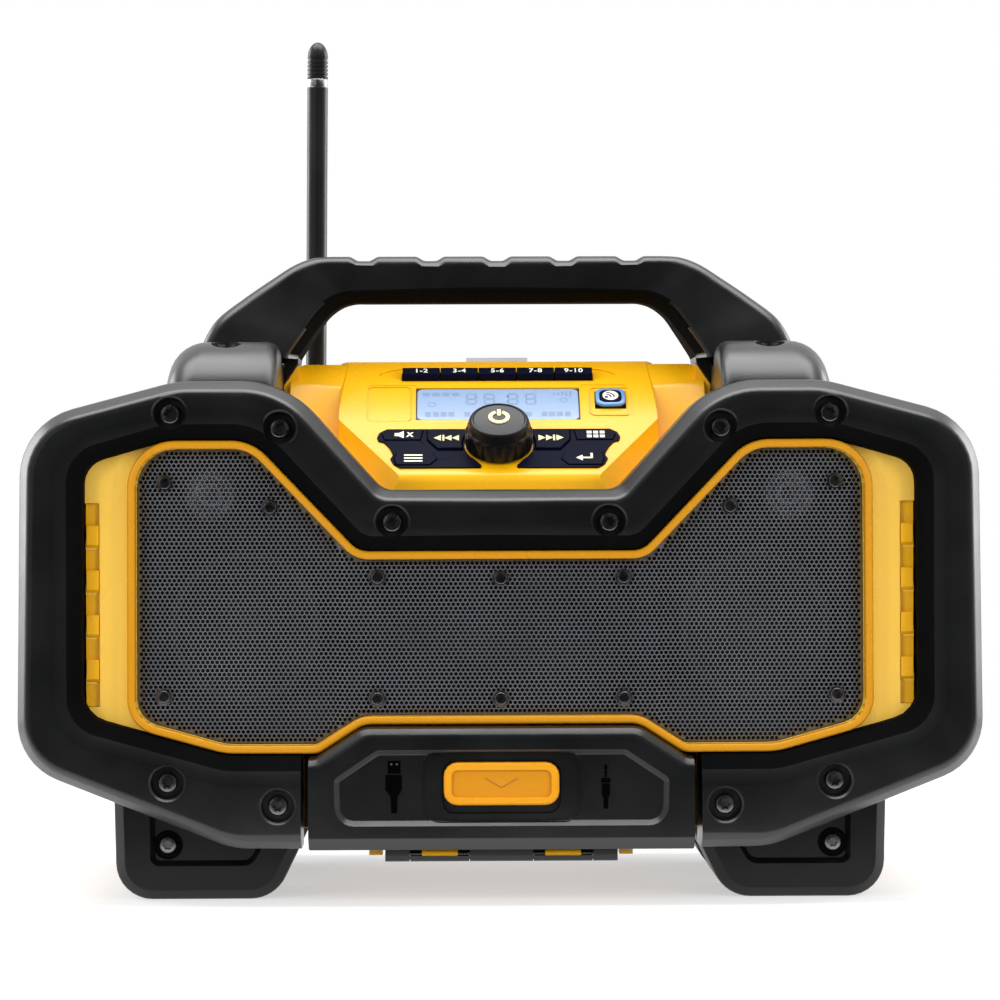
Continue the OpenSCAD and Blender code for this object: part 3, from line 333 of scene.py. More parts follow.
def tint(tree, factor, dark, light):
    """Mixes two colours by a factor."""
    mix = tree.nodes.new("ShaderNodeMix")
    mix.data_type = "RGBA"
    mix.inputs["A"].default_value = (*dark, 1)
    mix.inputs["B"].default_value = (*light, 1)
    tree.links.new(factor, mix.inputs["Factor"])
    return mix.outputs["Result"]


def bump(tree, bsdf, height, distance):
    """Bumps a shader by a height, with its depth in millimetres."""
    made = node(tree, "ShaderNodeBump", Strength=1.0, Distance=distance * MM)
    tree.links.new(height, made.inputs["Height"])
    tree.links.new(made.outputs["Normal"], bsdf.inputs["Normal"])


def moulded(name, color, roughness, grain_scale=1500, grain_depth=0.01, variation=0.03, roughness_spread=0.03,
            specular=0.5, coat=0.0):
    """Moulded plastic or rubber: a fine grain, and a faint drift of colour and gloss."""
    mat, tree, bsdf = shader(name, color, roughness, specular=specular, coat=coat)
    drift = noise(tree, 28, 2)
    dark = tuple(c * (1 - variation) for c in color)
    light = tuple(min(c * (1 + variation), 1.0) for c in color)
    gloss = spread(tree, drift, roughness - roughness_spread, roughness + roughness_spread)
    tree.links.new(tint(tree, spread(tree, drift, 0, 1), dark, light), bsdf.inputs["Base Color"])
    tree.links.new(gloss, bsdf.inputs["Roughness"])
    bump(tree, bsdf, noise(tree, grain_scale, 2, 0.5), grain_depth)
    return mat


def rubber(name, color, roughness, specular, grain_depth=0.045):
    """Rubber with a coarser grain than the plastics."""
    return moulded(name, color, roughness, 1100, grain_depth, 0.2, 0.04, specular)


def yellow(name, color):
    """The satin plastic of the housing: its own colour, or a copy darker with painted shade or paler with
    painted sheen.
    """
    return moulded(name, color, 0.27, grain_depth=0.008, variation=0.015)


def metal(name, color, roughness):
    """Plated metal with a faint unevenness."""
    mat, tree, bsdf = shader(name, color, roughness, metallic=1.0)
    gloss = spread(tree, noise(tree, 250, 3), roughness * 0.75, roughness * 1.25)
    tree.links.new(gloss, bsdf.inputs["Roughness"])
    bump(tree, bsdf, noise(tree, 1500, 2), 0.01)
    return mat


BLACK_RUBBER = (0.0040, 0.0043, 0.0050)
RUBBER = rubber("rubber", BLACK_RUBBER, 0.33, 0.8)
FOOT_RUBBER = rubber("foot_rubber", BLACK_RUBBER, 0.34, 0.35)
# darker, less glossy copies of the rubber: painted shade on the bumper's inner slope and under the handle
HALF_SHADED_RUBBER = rubber("rubber_half_painted_shade", (0.0035, 0.0038, 0.0044), 0.5, 0.3)
SHADED_MATT_RUBBER = rubber("matt_rubber_painted_shade", (0.0030, 0.0032, 0.0036), 0.8, 0.03, 0.05)
YELLOW = yellow("yellow_plastic", (0.84, 0.42, 0.003))
# a paler yellow for the front frame: painted sheen on its side panels
SHEEN_YELLOW = yellow("frame_painted_sheen_yellow", (0.86, 0.53, 0.07))
# a darker yellow for the rib round the grille: painted shade
RIB_SHADE_YELLOW = yellow("rib_painted_shade_yellow", (0.58, 0.25, 0.003))
# a darker yellow for the latch's dish: painted shade
DISH_SHADE_YELLOW = yellow("dish_painted_shade_yellow", (0.62, 0.245, 0.003))
LATCH_YELLOW = moulded("latch_plastic", (0.75, 0.31, 0.003), 0.27, grain_depth=0.008, roughness_spread=0.04)
# a darker yellow for the ring round each panel field: painted shade
PANEL_EDGE_SHADE = moulded("panel_groove_painted_shade", (0.66, 0.30, 0.003), 0.4, grain_depth=0.008, roughness_spread=0.04)
# the latch's arrow: a dark line of painted shade for its shallow groove
ARROW_GROOVE_SHADE = moulded("latch_groove_painted_shade", (0.38, 0.12, 0.004), 0.5, variation=0.05)
BLACK = moulded("black_plastic", (0.008, 0.008, 0.009), 0.32, 1300, 0.02, 0.15, 0.05)
GREY = moulded("grey_plastic", (0.56, 0.57, 0.60), 0.4, 1500, 0.02, 0.05, 0.05)
KEY = moulded("key_rubber", (0.002, 0.003, 0.012), 0.45, 1500, 0.008, 0.15, 0.05, 0.04)
KNOB = moulded("knob_plastic", (0.004, 0.004, 0.005), 0.32, 1500, 0.02, 0.15, 0.05, 0.42)
GRILLE = moulded("grille_coat", (0.10, 0.105, 0.118), 0.34, 1500, 0.004, 0.05, 0.05, 0.8)
CONE = moulded("paper_cone", (0.020, 0.020, 0.022), 0.8, 700, 0.08, 0.2, 0.05)
BOARD = moulded("circuit_board", (0.02, 0.12, 0.05), 0.4, 600, 0.03, 0.3, 0.05)
BLUE = moulded("blue_rim", (0.10, 0.26, 0.55), 0.25)
PRINT = moulded("pale_print", (0.83, 0.80, 0.66), 0.5)
GLYPH = moulded("glyph_print", (0.80, 0.72, 0.38), 0.5)
LCD = moulded("display", (0.26, 0.36, 0.54), 0.25, grain_depth=0.002, coat=0.15)
SEGMENT = moulded("display_segments", (0.17, 0.24, 0.38), 0.4, grain_depth=0.002)
RIM = moulded("display_rim", (0.004, 0.006, 0.03), 0.3, grain_depth=0.002, variation=0.1)
PLUG_HOLE = moulded("plug_holes", (0.05, 0.05, 0.053), 0.5, variation=0.1)
# very dark: the plug marks on the door, and painted shade of the screw wells in the feet
PLUG_MARKS_AND_WELL_SHADE = moulded("plug_marks_and_well_shade", (0.0008, 0.0008, 0.001), 0.35, variation=0.1, specular=0.05)
STEEL = metal("bright_steel", (0.62, 0.62, 0.64), 0.28)
CHROME = metal("chrome", (0.80, 0.81, 0.84), 0.24)
SCREW = metal("black_screw", (0.22, 0.22, 0.23), 0.3)

SLOT_FINISH = {
    "yellow_plastic": YELLOW, "black_rubber": RUBBER, "black_plastic": BLACK, "grille_steel": GRILLE,
    "screw_steel": SCREW, "bright_steel": STEEL, "key_rubber": KEY, "knob_plastic": KNOB, "lcd_glass": LCD,
    "blue_rim": BLUE, "grey_plastic": GREY, "paper_cone": CONE, "chrome_trim": CHROME, "circuit_board": BOARD,
    "latch_yellow": LATCH_YELLOW,
}

# -------------------- Roll cage

# a bumper's edges: across from the edge, and depth behind the face
OUTER_EDGE = [(0, 12.5), (0.25, 10.6), (0.9, 9.0), (4.3, 2.7), (5.4, 1.3), (6.8, 0.45), (8.8, 0)]
INNER_EDGE = [(0, 11), (0.35, 9.0), (1.4, 7.2), (4.0, 4.8), (8.0, 2.4), (11.5, 0.9), (14.5, 0.2), (16.5, 0)]
# the strips of a section that make the inner slope, each with its place among the bumper's materials; these
# are darker, less glossy copies of the rubber, painted shade on the slope
INNER_SLOPE = {9: 1, 10: 1, 11: 2, 12: 2, 13: 2, 14: 2, 15: 2}
# a screw's head: part of its radius, part of its height, and how deep its six lobes are
SCREW_ROWS = [(1, 0, 0), (1, 0.55, 0), (0.93, 0.85, 0), (0.8, 1, 0), (0.46, 1, 0.16), (0.42, 0.35, 0.16)]
BUMPER_SCREW_R = 5.0
BUMPER_SCREW_H = 3.0


def bar_section(o, i, face, seat):
    """One section of a bumper between a point of its outer and of its inner outline."""
    u = Vector((i.x - o.x, 0, i.y - o.y)).normalized()
    depth = Vector((0, 1 if seat > face else -1, 0))
    outer, inner = Vector((o.x, face, o.y)), Vector((i.x, face, i.y))
    out_edge = [outer + u * across + depth * deep for across, deep in OUTER_EDGE]
    in_edge = [inner - u * across + depth * deep for across, deep in reversed(INNER_EDGE)]
    return [Vector((o.x, seat, o.y)), *out_edge, *in_edge, Vector((i.x, seat, i.y))]


def well_cutter(x, z, y, facing):
    """A stepped well for a screw's head, sunk into a face at y."""
    profile = [(1.4, -1), (1.4, 0), (0.4, 1), (0, 1.6), (-0.4, WELL_DEPTH)]
    return turned_cutter([(WELL_R + wider, -facing * deep) for wider, deep in profile], (x, y, z))


def star_screw(name, at, r, height, facing=-1, replaces=None):
    """A pan-head screw with a six-lobed recess. facing is -1 towards the front, 1 towards the back."""
    x, y, z = at
    turns = [2 * math.pi * i / 48 for i in range(48)]
    sections = []
    for part, rise, lobes in SCREW_ROWS:
        reach = [(a, r * part * (1 + lobes * math.cos(6 * a))) for a in turns]
        level = y + facing * height * rise
        sections.append([(x + d * math.cos(a), level, z + d * math.sin(a)) for a, d in reach])
    shade(sweep(name, sections, SCREW, "screw_steel", replaces=replaces), 50)


def make_bumper(end, facing, outer, inner, wells, looped=False):
    """A bumper between two outlines, with its screws. facing is -1 for the front, 1 for the rear."""
    face = -facing * FRONT
    sections = [bar_section(o, i, face, -facing * SEAT) for o, i in zip(outer, inner)]
    obj = sweep(f"{end}_bumper_skin", sections, RUBBER, "black_rubber", looped, replaces=f"{end}_bumper")
    if end == "front":
        # darker, less glossy copies of the rubber: painted shade on the inner slope
        obj.data.materials.append(HALF_SHADED_RUBBER)
        obj.data.materials.append(SHADED_MATT_RUBBER)
        for k, strip in enumerate(obj.data.polygons):
            strip.material_index = INNER_SLOPE.get(k % len(sections[0]), 0)
    cut(obj, *[well_cutter(x, z, face, facing) for x, z in both_signs(wells)])
    shade_flats(obj)
    for k, (x, z) in enumerate(both_signs(wells)):
        at = (x, face - facing * WELL_DEPTH, z)
        stands_for = f"{end}_screws" if k == 0 else None
        star_screw(f"{end}_screw_{k + 1}", at, BUMPER_SCREW_R, BUMPER_SCREW_H, facing, stands_for)


def make_bumpers():
    """The front bumper, open at the door and dipped at the console, and the closed rear one."""
    steps = 8
    outer = whole(rounded_open([(-SEAM_X, BOTTOM, 0), FOOT_CORNER, *OUTER, *DIP, (0, DIP_FLOOR, 0)], steps))
    inner = whole(rounded_open([(-SEAM_X, WINDOW_LOW, 0), *INNER, *INNER_DIP, (0, WINDOW_DIP, 0)], steps))
    make_bumper("front", -1, outer, inner, FRONT_WELLS)
    outer = rounded(mirrored([FOOT_CORNER, *OUTER]), steps)
    make_bumper("rear", 1, outer, rounded(mirrored(INNER), steps), REAR_WELLS, looped=True)


# -------------------- Handle and rails

HANDLE_TOP = 336.4
HANDLE_UNDER = 311.8
SADDLE = 281.0
SCALLOP_PITCH = 35.7
SCALLOP_FLAT = 2.5
SCALLOP_HALF = 8.2
SCALLOP_DEPTH = 2.4
# stations of the left half: outer point, inner point, half depth
HANDLE = [((-159, SADDLE), (-106.5, SADDLE), 35), ((-157.2, SADDLE + 8), (-106, SADDLE + 2), 34),
          ((-149.8, HANDLE_TOP - 34.5), (-102, SADDLE + 8), 31),
          ((-136, HANDLE_TOP - 23.2), (-97, HANDLE_UNDER - 15.7), 27),
          ((-120.7, HANDLE_TOP - 12.4), (-91, HANDLE_UNDER - 7.7), 23.5),
          ((-109, HANDLE_TOP - 4.8), (-84, HANDLE_UNDER - 2.4), 21.5),
          ((-98.6, HANDLE_TOP - 0.8), (-77, HANDLE_UNDER - 0.2), 20),
          ((-88, HANDLE_TOP), (-70, HANDLE_UNDER), 20)]
# edges of the handle's section: along its height, and depth behind its face
OVER_EDGE = [(0, 7), (0.2, 5.2), (0.9, 3.4), (2.2, 1.7), (3.8, 0.6), (6, 0)]
UNDER_EDGE = [(0, 12), (0.3, 11), (1.6, 8.2), (4.6, 2.6), (5.8, 1), (7.6, 0)]
TOE = [(114.2, SADDLE + 3.4), (114.2, 267.6), (106.8, 278.3), (106.3, SADDLE + 0.6), (108.6, SADDLE + 3.4)]
TOE_Y = 21
RAIL_X = (114.5, 172.5)
RAIL_TOP = 288.8
RAIL_LOW = 250.0
RAIL_OUTER_R, RAIL_INNER_R = 20.0, 7.0
RAIL_NOSE_Y, RAIL_NOSE = 74, 18
# the hump from its front down to the saddle: y, z
HUMP = [(92, 262), (90, 267), (86, 273), (80, 279), (72, 284.2), (62, 287.8), (52, RAIL_TOP),
        (45, RAIL_TOP - 0.6), (40.5, RAIL_TOP - 3.5), (38.6, SADDLE + 1), (36, SADDLE), (0, SADDLE)]
BOLT_X, BOLT_Y, BOLT_R = 142.0, 62.0, 8.2


def spline(values, t):
    """Catmull-Rom through numpy rows at parameter t."""
    i = min(int(t), len(values) - 2)
    f = t - i
    p0, p1, p2, p3 = (values[min(max(j, 0), len(values) - 1)] for j in range(i - 1, i + 3))
    bend = (p2 - p0) * f + (2 * p0 - 5 * p1 + 4 * p2 - p3) * f * f + (3 * p1 - p0 - 3 * p2 + p3) * f ** 3
    return 0.5 * (2 * p1 + bend)


def splined(rows, count):
    """Evenly spaced points along a spline through rows of numbers."""
    rows = [np.array(row, float) for row in rows]
    return [spline(rows, t) for t in np.linspace(0, len(rows) - 1, count)]


def eased(f):
    """0 to 1 with a soft start and end."""
    return f * f * (3 - 2 * f)


def scallop(x):
    """How far the grip's top dips at x."""
    nearest = min(abs(x - k * SCALLOP_PITCH) for k in range(-2, 3))
    return SCALLOP_DEPTH * eased(min(max((SCALLOP_HALF - nearest) / (SCALLOP_HALF - SCALLOP_FLAT), 0), 1))


def handle_section(o, i, d):
    """A rounded section of the handle, the same front and back."""
    u = Vector((i[0] - o[0], 0, i[1] - o[1])).normalized()
    y = Vector((0, 1, 0))
    outer, inner = Vector((o[0], -d, o[1])), Vector((i[0], -d, i[1]))
    front = [outer + u * along + y * deep for along, deep in OVER_EDGE]
    front += [inner - u * along + y * deep for along, deep in reversed(UNDER_EDGE)]
    back = [Vector((p.x, -p.y, p.z)) for p in reversed(front)]
    for p in front[:5] + back[-5:]:
        p.z -= scallop(p.x)
    return front + back


def make_handle():
    """The handle, with a darker, matt copy of its rubber on the faces that look down as painted shade, and its
    two toes.
    """
    half = [(r[0:2], r[2:4], r[4]) for r in splined([(*o, *i, d) for o, i, d in HANDLE], 57)]
    (x_outer, _), (x_inner, _), depth = HANDLE[-1]
    half += [((x_outer * (1 - f), HANDLE_TOP), (x_inner * (1 - f), HANDLE_UNDER), depth)
             for f in np.linspace(0, 1, 90)[1:]]
    right = [((-o[0], o[1]), (-i[0], i[1]), d) for o, i, d in reversed(half[:-1])]
    sections = [handle_section(*s) for s in half + right]
    obj = sweep("handle_skin", sections, RUBBER, "black_rubber", replaces="handle")
    # faces that look down get a darker, matt copy of the rubber: painted shade
    obj.data.materials.append(SHADED_MATT_RUBBER)
    for face in obj.data.polygons:
        face.material_index = int(face.normal.z < -0.25)
    shade_flats(obj, 50)
    for name, side in SIDES:
        outline = [(side * x, z) for x, z in TOE]
        bevel(prism("handle_toe_" + name, outline, -TOE_Y, TOE_Y, RUBBER, "black_rubber"), 0.6)


def make_rail(name, side):
    """A shoulder rail with its hump at each end and the wells of its bolts."""
    curve = splined(HUMP, 70)
    stations = [(-y, z) for y, z in curve] + [(y, z) for y, z in reversed(curve[:-1])]
    sections = []
    for y, top in stations:
        r_out = min(RAIL_OUTER_R, (top - RAIL_LOW) * 0.6)
        r_in = RAIL_INNER_R
        nose = max(0.0, abs(y) - RAIL_NOSE_Y) / RAIL_NOSE
        x0 = RAIL_X[0] + 1.2 * nose ** 2
        x1 = RAIL_X[1] - 5.0 * nose ** 2
        crest = [(x1 - r_out * (1 - math.cos(a)), top - r_out * (1 - math.sin(a)))
                 for a in np.linspace(0, math.pi / 2, 9)]
        crest += [(x0 + r_in * (1 - math.sin(a)), top - r_in * (1 - math.cos(a)))
                  for a in np.linspace(0, math.pi / 2, 6)]
        sections.append([(side * x, y, z) for x, z in [(x1, RAIL_LOW), *crest, (x0, RAIL_LOW)]])
    obj = sweep(name + "_skin", sections, RUBBER, "black_rubber", replaces=name)
    well = [(BOLT_R, -6), (BOLT_R, 2), (BOLT_R + 1, 6)]
    cut(obj, *[turned_cutter(well, (side * BOLT_X, y, RAIL_TOP - 1), ALONG_Z) for y in (-BOLT_Y, BOLT_Y)])
    shade_flats(obj, 50)


# -------------------- Grille

GRILLE_Y = FRONT + 15.5
GRILLE_CENTRE_Y = FRONT + 12.5
PANEL_X = 79.0
PANEL_SLOPE = 5.0
SHEET_T = 0.8
PITCH = 2.4
HOLE_R = 1.06
EDGE_W = 4.6
EDGE_DROP = 2.6
EDGE_MARGIN = 1.15
DIMPLE_R = 4.5
DIMPLE_RIM_R = 7.0
DIMPLE_SLOPE = 2.6
DIMPLE_DROP = 1.6
GRILLE_FIXINGS = [(170.5, 214.6), (117.1, 202), (62.5, 166.3), (0, 165.8), (62.7, 104.7), (0, 104.5),
                  (171.2, 105.9)]


def distance_inside(points, outline):
    """Signed distance of points to a closed outline, positive inside, and the nearest point on it."""
    a = np.array([tuple(p) for p in outline])
    b = np.roll(a, -1, axis=0)
    best = np.full(len(points), np.inf)
    near = np.zeros((len(points), 2))
    inside = np.zeros(len(points), bool)
    for p, q, e in zip(a, b, b - a):
        t = np.clip(((points - p) @ e) / max(e @ e, 1e-12), 0, 1)
        c = p + t[:, None] * e
        dist = np.hypot(*(points - c).T)
        closer = dist < best
        best[closer] = dist[closer]
        near[closer] = c[closer]
        crosses = (p[1] > points[:, 1]) != (q[1] > points[:, 1])
        if e[1] != 0:
            inside ^= crosses & (points[:, 0] < p[0] + (points[:, 1] - p[1]) * e[0] / e[1])
    return np.where(inside, best, -best), near


def grille_depth(xz, edge):
    """y of the sheet at each point: a proud centre panel, rolled edges and dimples round the screws."""
    t = np.clip((np.abs(xz[:, 0]) - PANEL_X) / PANEL_SLOPE, 0, 1)
    y = GRILLE_CENTRE_Y + (GRILLE_Y - GRILLE_CENTRE_Y) * eased(t)
    y = y + EDGE_DROP * (1 - np.clip(edge / EDGE_W, 0, 1)) ** 1.6
    for x, z in both_signs(GRILLE_FIXINGS):
        r = np.hypot(xz[:, 0] - x, xz[:, 1] - z)
        y = y + DIMPLE_DROP * eased(np.clip((DIMPLE_RIM_R - r) / DIMPLE_SLOPE, 0, 1))
    return y


def hole_centres(outline):
    """Centres of a staggered grid of holes inside the outline and clear of the screws."""
    row = PITCH * math.sqrt(3) / 2
    low_x, low_z = np.min([tuple(p) for p in outline], axis=0)
    high_x, high_z = np.max([tuple(p) for p in outline], axis=0)
    count = int((high_x - low_x) / PITCH / 2) + 2
    centres = np.array([(i * PITCH + PITCH / 2 * (j % 2), low_z + j * row)
                        for j in range(int((high_z - low_z) / row) + 2) for i in range(-count, count)])
    gap, _ = distance_inside(centres, outline)
    bare = np.zeros(len(centres), bool)
    for x, z in both_signs(GRILLE_FIXINGS):
        bare |= np.hypot(centres[:, 0] - x, centres[:, 1] - z) < DIMPLE_R - 1.4
    return centres[(gap > EDGE_MARGIN) & ~bare]


def shared_cells(centres, corners):
    """The hexagon round each centre, as indices into a list of the corners that neighbours share."""
    index, points, cells = {}, [], []
    for cx, cz in centres:
        ring = []
        for dx, dz in corners:
            key = (round((cx + dx) * 20), round((cz + dz) * 20))
            if key not in index:
                index[key] = len(points)
                points.append((cx + dx, cz + dz))
            ring.append(index[key])
        cells.append(ring)
    return np.array(points), cells


def border_points(cells):
    """Corners on an edge that only one cell has."""
    uses = {}
    for ring in cells:
        for a, b in zip(ring, ring[1:] + ring[:1]):
            uses[frozenset((a, b))] = uses.get(frozenset((a, b)), 0) + 1
    return list({p for e, n in uses.items() if n == 1 for p in e})


def make_grille():
    """A honeycomb sheet: each cell is a hexagon with a smaller hexagonal hole, with walls behind the hole."""
    outline = rounded(inset(mirrored(RIB), RIB_W + 0.3), 14)
    size = PITCH / math.sqrt(3)
    corners = [(size * math.sin(math.pi / 3 * k), size * math.cos(math.pi / 3 * k)) for k in range(6)]
    centres = hole_centres(outline)
    outer, cells = shared_cells(centres, corners)
    border = border_points(cells)
    _, near = distance_inside(outer, outline)
    screws = np.array(both_signs(GRILLE_FIXINGS))
    for p in border:
        if np.hypot(*(screws - outer[p]).T).min() > DIMPLE_R + 0.4:
            outer[p] = near[p]
    scale = HOLE_R / size
    holes = np.array([(cx + dx * scale, cz + dz * scale) for cx, cz in centres for dx, dz in corners])
    flat = np.vstack([outer, holes])
    edge, _ = distance_inside(flat, outline)
    edge[border] = np.maximum(edge[border], 0)
    front = np.column_stack([flat[:, 0], grille_depth(flat, edge), flat[:, 1]])
    verts = np.vstack([front, front[len(outer):] + np.array([0, SHEET_T, 0])])
    faces = []
    for c, ring in enumerate(cells):
        for k in range(6):
            m = (k + 1) % 6
            h0, h1 = len(outer) + 6 * c + k, len(outer) + 6 * c + m
            faces.append((ring[k], ring[m], h1, h0))
            faces.append((h0, h1, h1 + len(holes), h0 + len(holes)))
    piece("grille_mesh", verts.tolist(), faces, GRILLE, "grille_steel", replaces="speaker_grille",
          smooth=False)


def make_rib():
    """The rib's rounded crest, a thin shell over the one of the construction model, in a darker yellow that is
    painted shade.
    """
    profile = [(6, RIB_W - 0.03), (1.3, RIB_W - 0.03), (0.5, RIB_W - 0.25), (0.0, RIB_W - 0.7),
               (-0.2, RIB_W - 1.4), (-0.2, 1.6), (0.0, 0.8), (0.5, 0.3), (1.4, -0.07), (6, -0.07)]
    rings = [rounded(inset(mirrored(RIB), d)) for _, d in profile]
    sections = [[(p.x, RIB_CREST + depth, p.y) for p, (depth, _) in zip(points, profile)]
                for points in zip(*rings)]
    sweep("rib_skin", sections, RIB_SHADE_YELLOW, "yellow_plastic", looped=True)


# -------------------- Control panel

SLOPE = math.radians(36.4)
PANEL_EDGE = Vector((0, -88, 220))
UP = Vector((0, math.cos(SLOPE), math.sin(SLOPE)))
OUT = Vector((0, -math.sin(SLOPE), math.cos(SLOPE)))
KNOB_V = 22.3
KNOB_GRIPS = 16
KNOB_TOP = 16.6
KNOB_SEGMENTS = 192
# the knob's radius, its height above the panel and the depth of its grips
KNOB_ROWS = [(15.2, 1.3, 0), (17.1, 1.3, 0), (17.55, 1.9, 0.1), (17.6, 3.2, 0.6), (17.55, 10.2, 0.95),
             (17.3, 11.1, 0.7), (16.6, 11.8, 0.2), (16.0, 12.1, 0), (15.85, 12.6, 0), (15.8, 15.2, 0),
             (15.5, 16.2, 0), (14.9, 17.0, 0), (14.2, 17.4, 0), (13.75, 17.5, 0), (13.4, 17.3, 0),
             (13.1, 17.0, 0), (9.0, 16.75, 0), (0.4, KNOB_TOP, 0)]
POWER_GAP = 22
LCD_V, LCD_W, LCD_H = 61.3, 87.0, 30.0
LCD_RIM = 0.8
PRESET_V, PRESET_W = 86.8, 20.4
PRESET_TEXT = ("1-2", "3-4", "5-6", "7-8", "9-10")
TEXT_SIZE = 5.0
KEY_TOP, SEEK_TOP, PRESET_TOP, WIRELESS_TOP = 1.5, 2.2, 4.0, 2.6
SEEK_V = 27
WIRELESS_AT = (59.8, 65)


def on_panel(x, v, h):
    """A point x across, v up the panel's slope and h above it."""
    return PANEL_EDGE + Vector((x, 0, 0)) + UP * v + OUT * h


def on_panel_prisms(name, outlines, h0, h1, material, slot, **kw):
    """Outlines of (x, v) points, each made solid from h0 to h1 above the panel, as one piece."""
    verts, faces = [], []
    for outline in outlines:
        faces += [tuple(len(verts) + i for i in f) for f in ring_faces(2, len(outline))]
        verts += [on_panel(x, v, h) for h in (h0, h1) for x, v in outline]
    return piece(name, verts, faces, material, slot, smooth=False, **kw)


def arc(x, v, r0, r1, start=0, end=360, steps=40):
    """A ring's piece between two angles in degrees, measured from the right and counter-clockwise."""
    angles = [math.radians(start + (end - start) * k / steps) for k in range(steps + 1)]
    return [polar(r1, a, x, v) for a in angles] + [polar(r0, a, x, v) for a in reversed(angles)]


def rect(x, v, w, h):
    return [(x - w / 2, v - h / 2), (x + w / 2, v - h / 2), (x + w / 2, v + h / 2), (x - w / 2, v + h / 2)]


def round_rect(x, v, w, h, r):
    corners = [(x + i * w / 2, v + k * h / 2, r) for i, k in ((-1, -1), (-1, 1), (1, 1), (1, -1))]
    return [tuple(p) for p in rounded(corners, 8)]


def triangle(x, v, w, h):
    """A triangle that points to +x, or to -x where w is negative."""
    return [(x - w / 2, v - h / 2), (x + w / 2, v), (x - w / 2, v + h / 2)]


def lettering(name, words, x, v, h, body):
    """Plain numbers on the panel, as a mesh, centred on a point."""
    curve = bpy.data.curves.new(name, "FONT")
    curve.body = words
    curve.size = TEXT_SIZE * MM
    curve.align_x = "CENTER"
    curve.align_y = "CENTER"
    curve.extrude = 0.06 * MM
    curve.offset = 0.09 * MM
    curve.space_character = 1.12
    text = bpy.data.objects.new(name + "_curve", curve)
    bpy.context.scene.collection.objects.link(text)
    bpy.context.view_layer.update()
    mesh = bpy.data.meshes.new_from_object(text.evaluated_get(bpy.context.evaluated_depsgraph_get()))
    bpy.data.objects.remove(text)
    mesh.transform(Matrix.Translation(on_panel(x, v, h) * MM) @ Matrix.Rotation(SLOPE, 4, "X"))
    dress(bpy.data.objects.new(name, mesh), PRINT, "key_rubber", body=body, smooth=False)


def sign(name, outlines, key, height=KEY_TOP, material=PRINT, thickness=0.12):
    """A printed sign on a key whose top is at a height above the panel."""
    on_panel_prisms(name, outlines, height, height + thickness, material, "key_rubber", body=key + "_body")


def make_knob():
    """The knob, turned about a line that stands on the panel, with its grips and its power sign."""
    turns = [2 * math.pi * i / KNOB_SEGMENTS for i in range(KNOB_SEGMENTS)]
    sections = []
    for r, h, depth in KNOB_ROWS:
        reach = [(a, r - depth * (0.5 - 0.5 * math.cos(KNOB_GRIPS * a)) ** 1.5) for a in turns]
        sections.append([on_panel(*polar(d, a, 0, KNOB_V), h) for a, d in reach])
    knob = {"slot": "knob_plastic", "body": "knob_body"}
    sweep("knob_cap", sections, KNOB, replaces="knob", **knob)
    v = KNOB_V + 2.4
    glyph = [arc(0, v, 3.5, 5.6, 90 + POWER_GAP, 450 - POWER_GAP), round_rect(0, v + 4.0, 1.9, 5.4, 0.6)]
    on_panel_prisms("power_glyph", glyph, KNOB_TOP, KNOB_TOP + 0.7, GLYPH, **knob)


def digit(x, v, w, h, t):
    """The seven bars of a display digit."""
    bars = [rect(x, v + k * (h - t) / 2, w - 1.4 * t, t) for k in (-1, 0, 1)]
    return bars + [rect(x + i * (w - t) / 2, v + k * (h - t) / 4, t, (h - t) / 2 - 0.8 * t)
                   for i in (-1, 1) for k in (-1, 1)]


def make_display():
    """The display's rim, window and marks, and round the panel's field on each side a ring of darker yellow,
    painted shade of its engraved line.
    """
    on_panel_prisms("display_frame", [round_rect(0, LCD_V, LCD_W, LCD_H, 0.4)], -1.8, -0.9, RIM, "lcd_glass",
                    replaces="lcd_lens")
    glass = round_rect(0, LCD_V, LCD_W - 2 * LCD_RIM, LCD_H - 2 * LCD_RIM, 3.2)
    on_panel_prisms("display_glass", [glass], -0.95, -0.45, LCD, "lcd_glass")
    # each ring is painted shade of the engraved line
    for name, at, w, h in (("left", (-57.6, 61.3), 23.6, 32.4), ("right", (60.1, 63.4), 23.1, 25.8)):
        outer, inner = (round_rect(*at, w - 2 * d, h - 2 * d, 3.4 - d) for d in (0, 0.5))
        ring = outer + outer[:1] + inner[:1] + inner[:0:-1]
        on_panel_prisms(f"panel_groove_painted_shade_{name}", [ring], -0.6, 0.04, PANEL_EDGE_SHADE, "yellow_plastic")
    marks = []
    for k in range(4):
        marks += digit(-14 + k * 9.5 + (3 if k > 1 else 0), LCD_V + 5, 6.2, 10.5, 1.3)
    marks += [rect(5.2, LCD_V + 5 + i, 1.3, 1.3) for i in (-2.2, 2.2)]
    marks += [rect(-38 + 5.2 * k, LCD_V + 9.4, 3.8, 3.2) for k in range(4)]
    marks += [rect(-37 + 4.1 * k, LCD_V - 9, 3.1, 4.4) for k in range(19) if k % 5 != 4]
    marks += [arc(-35, LCD_V, 1.5, 2.3), arc(35, LCD_V + 4, 1.5, 2.3)]
    marks += [rect(30 + 2.2 * k, LCD_V + 9.6, 1.2, 1.5 + 0.9 * k) for k in range(5)]
    on_panel_prisms("display_marks", marks, -0.46, -0.42, SEGMENT, "lcd_glass")


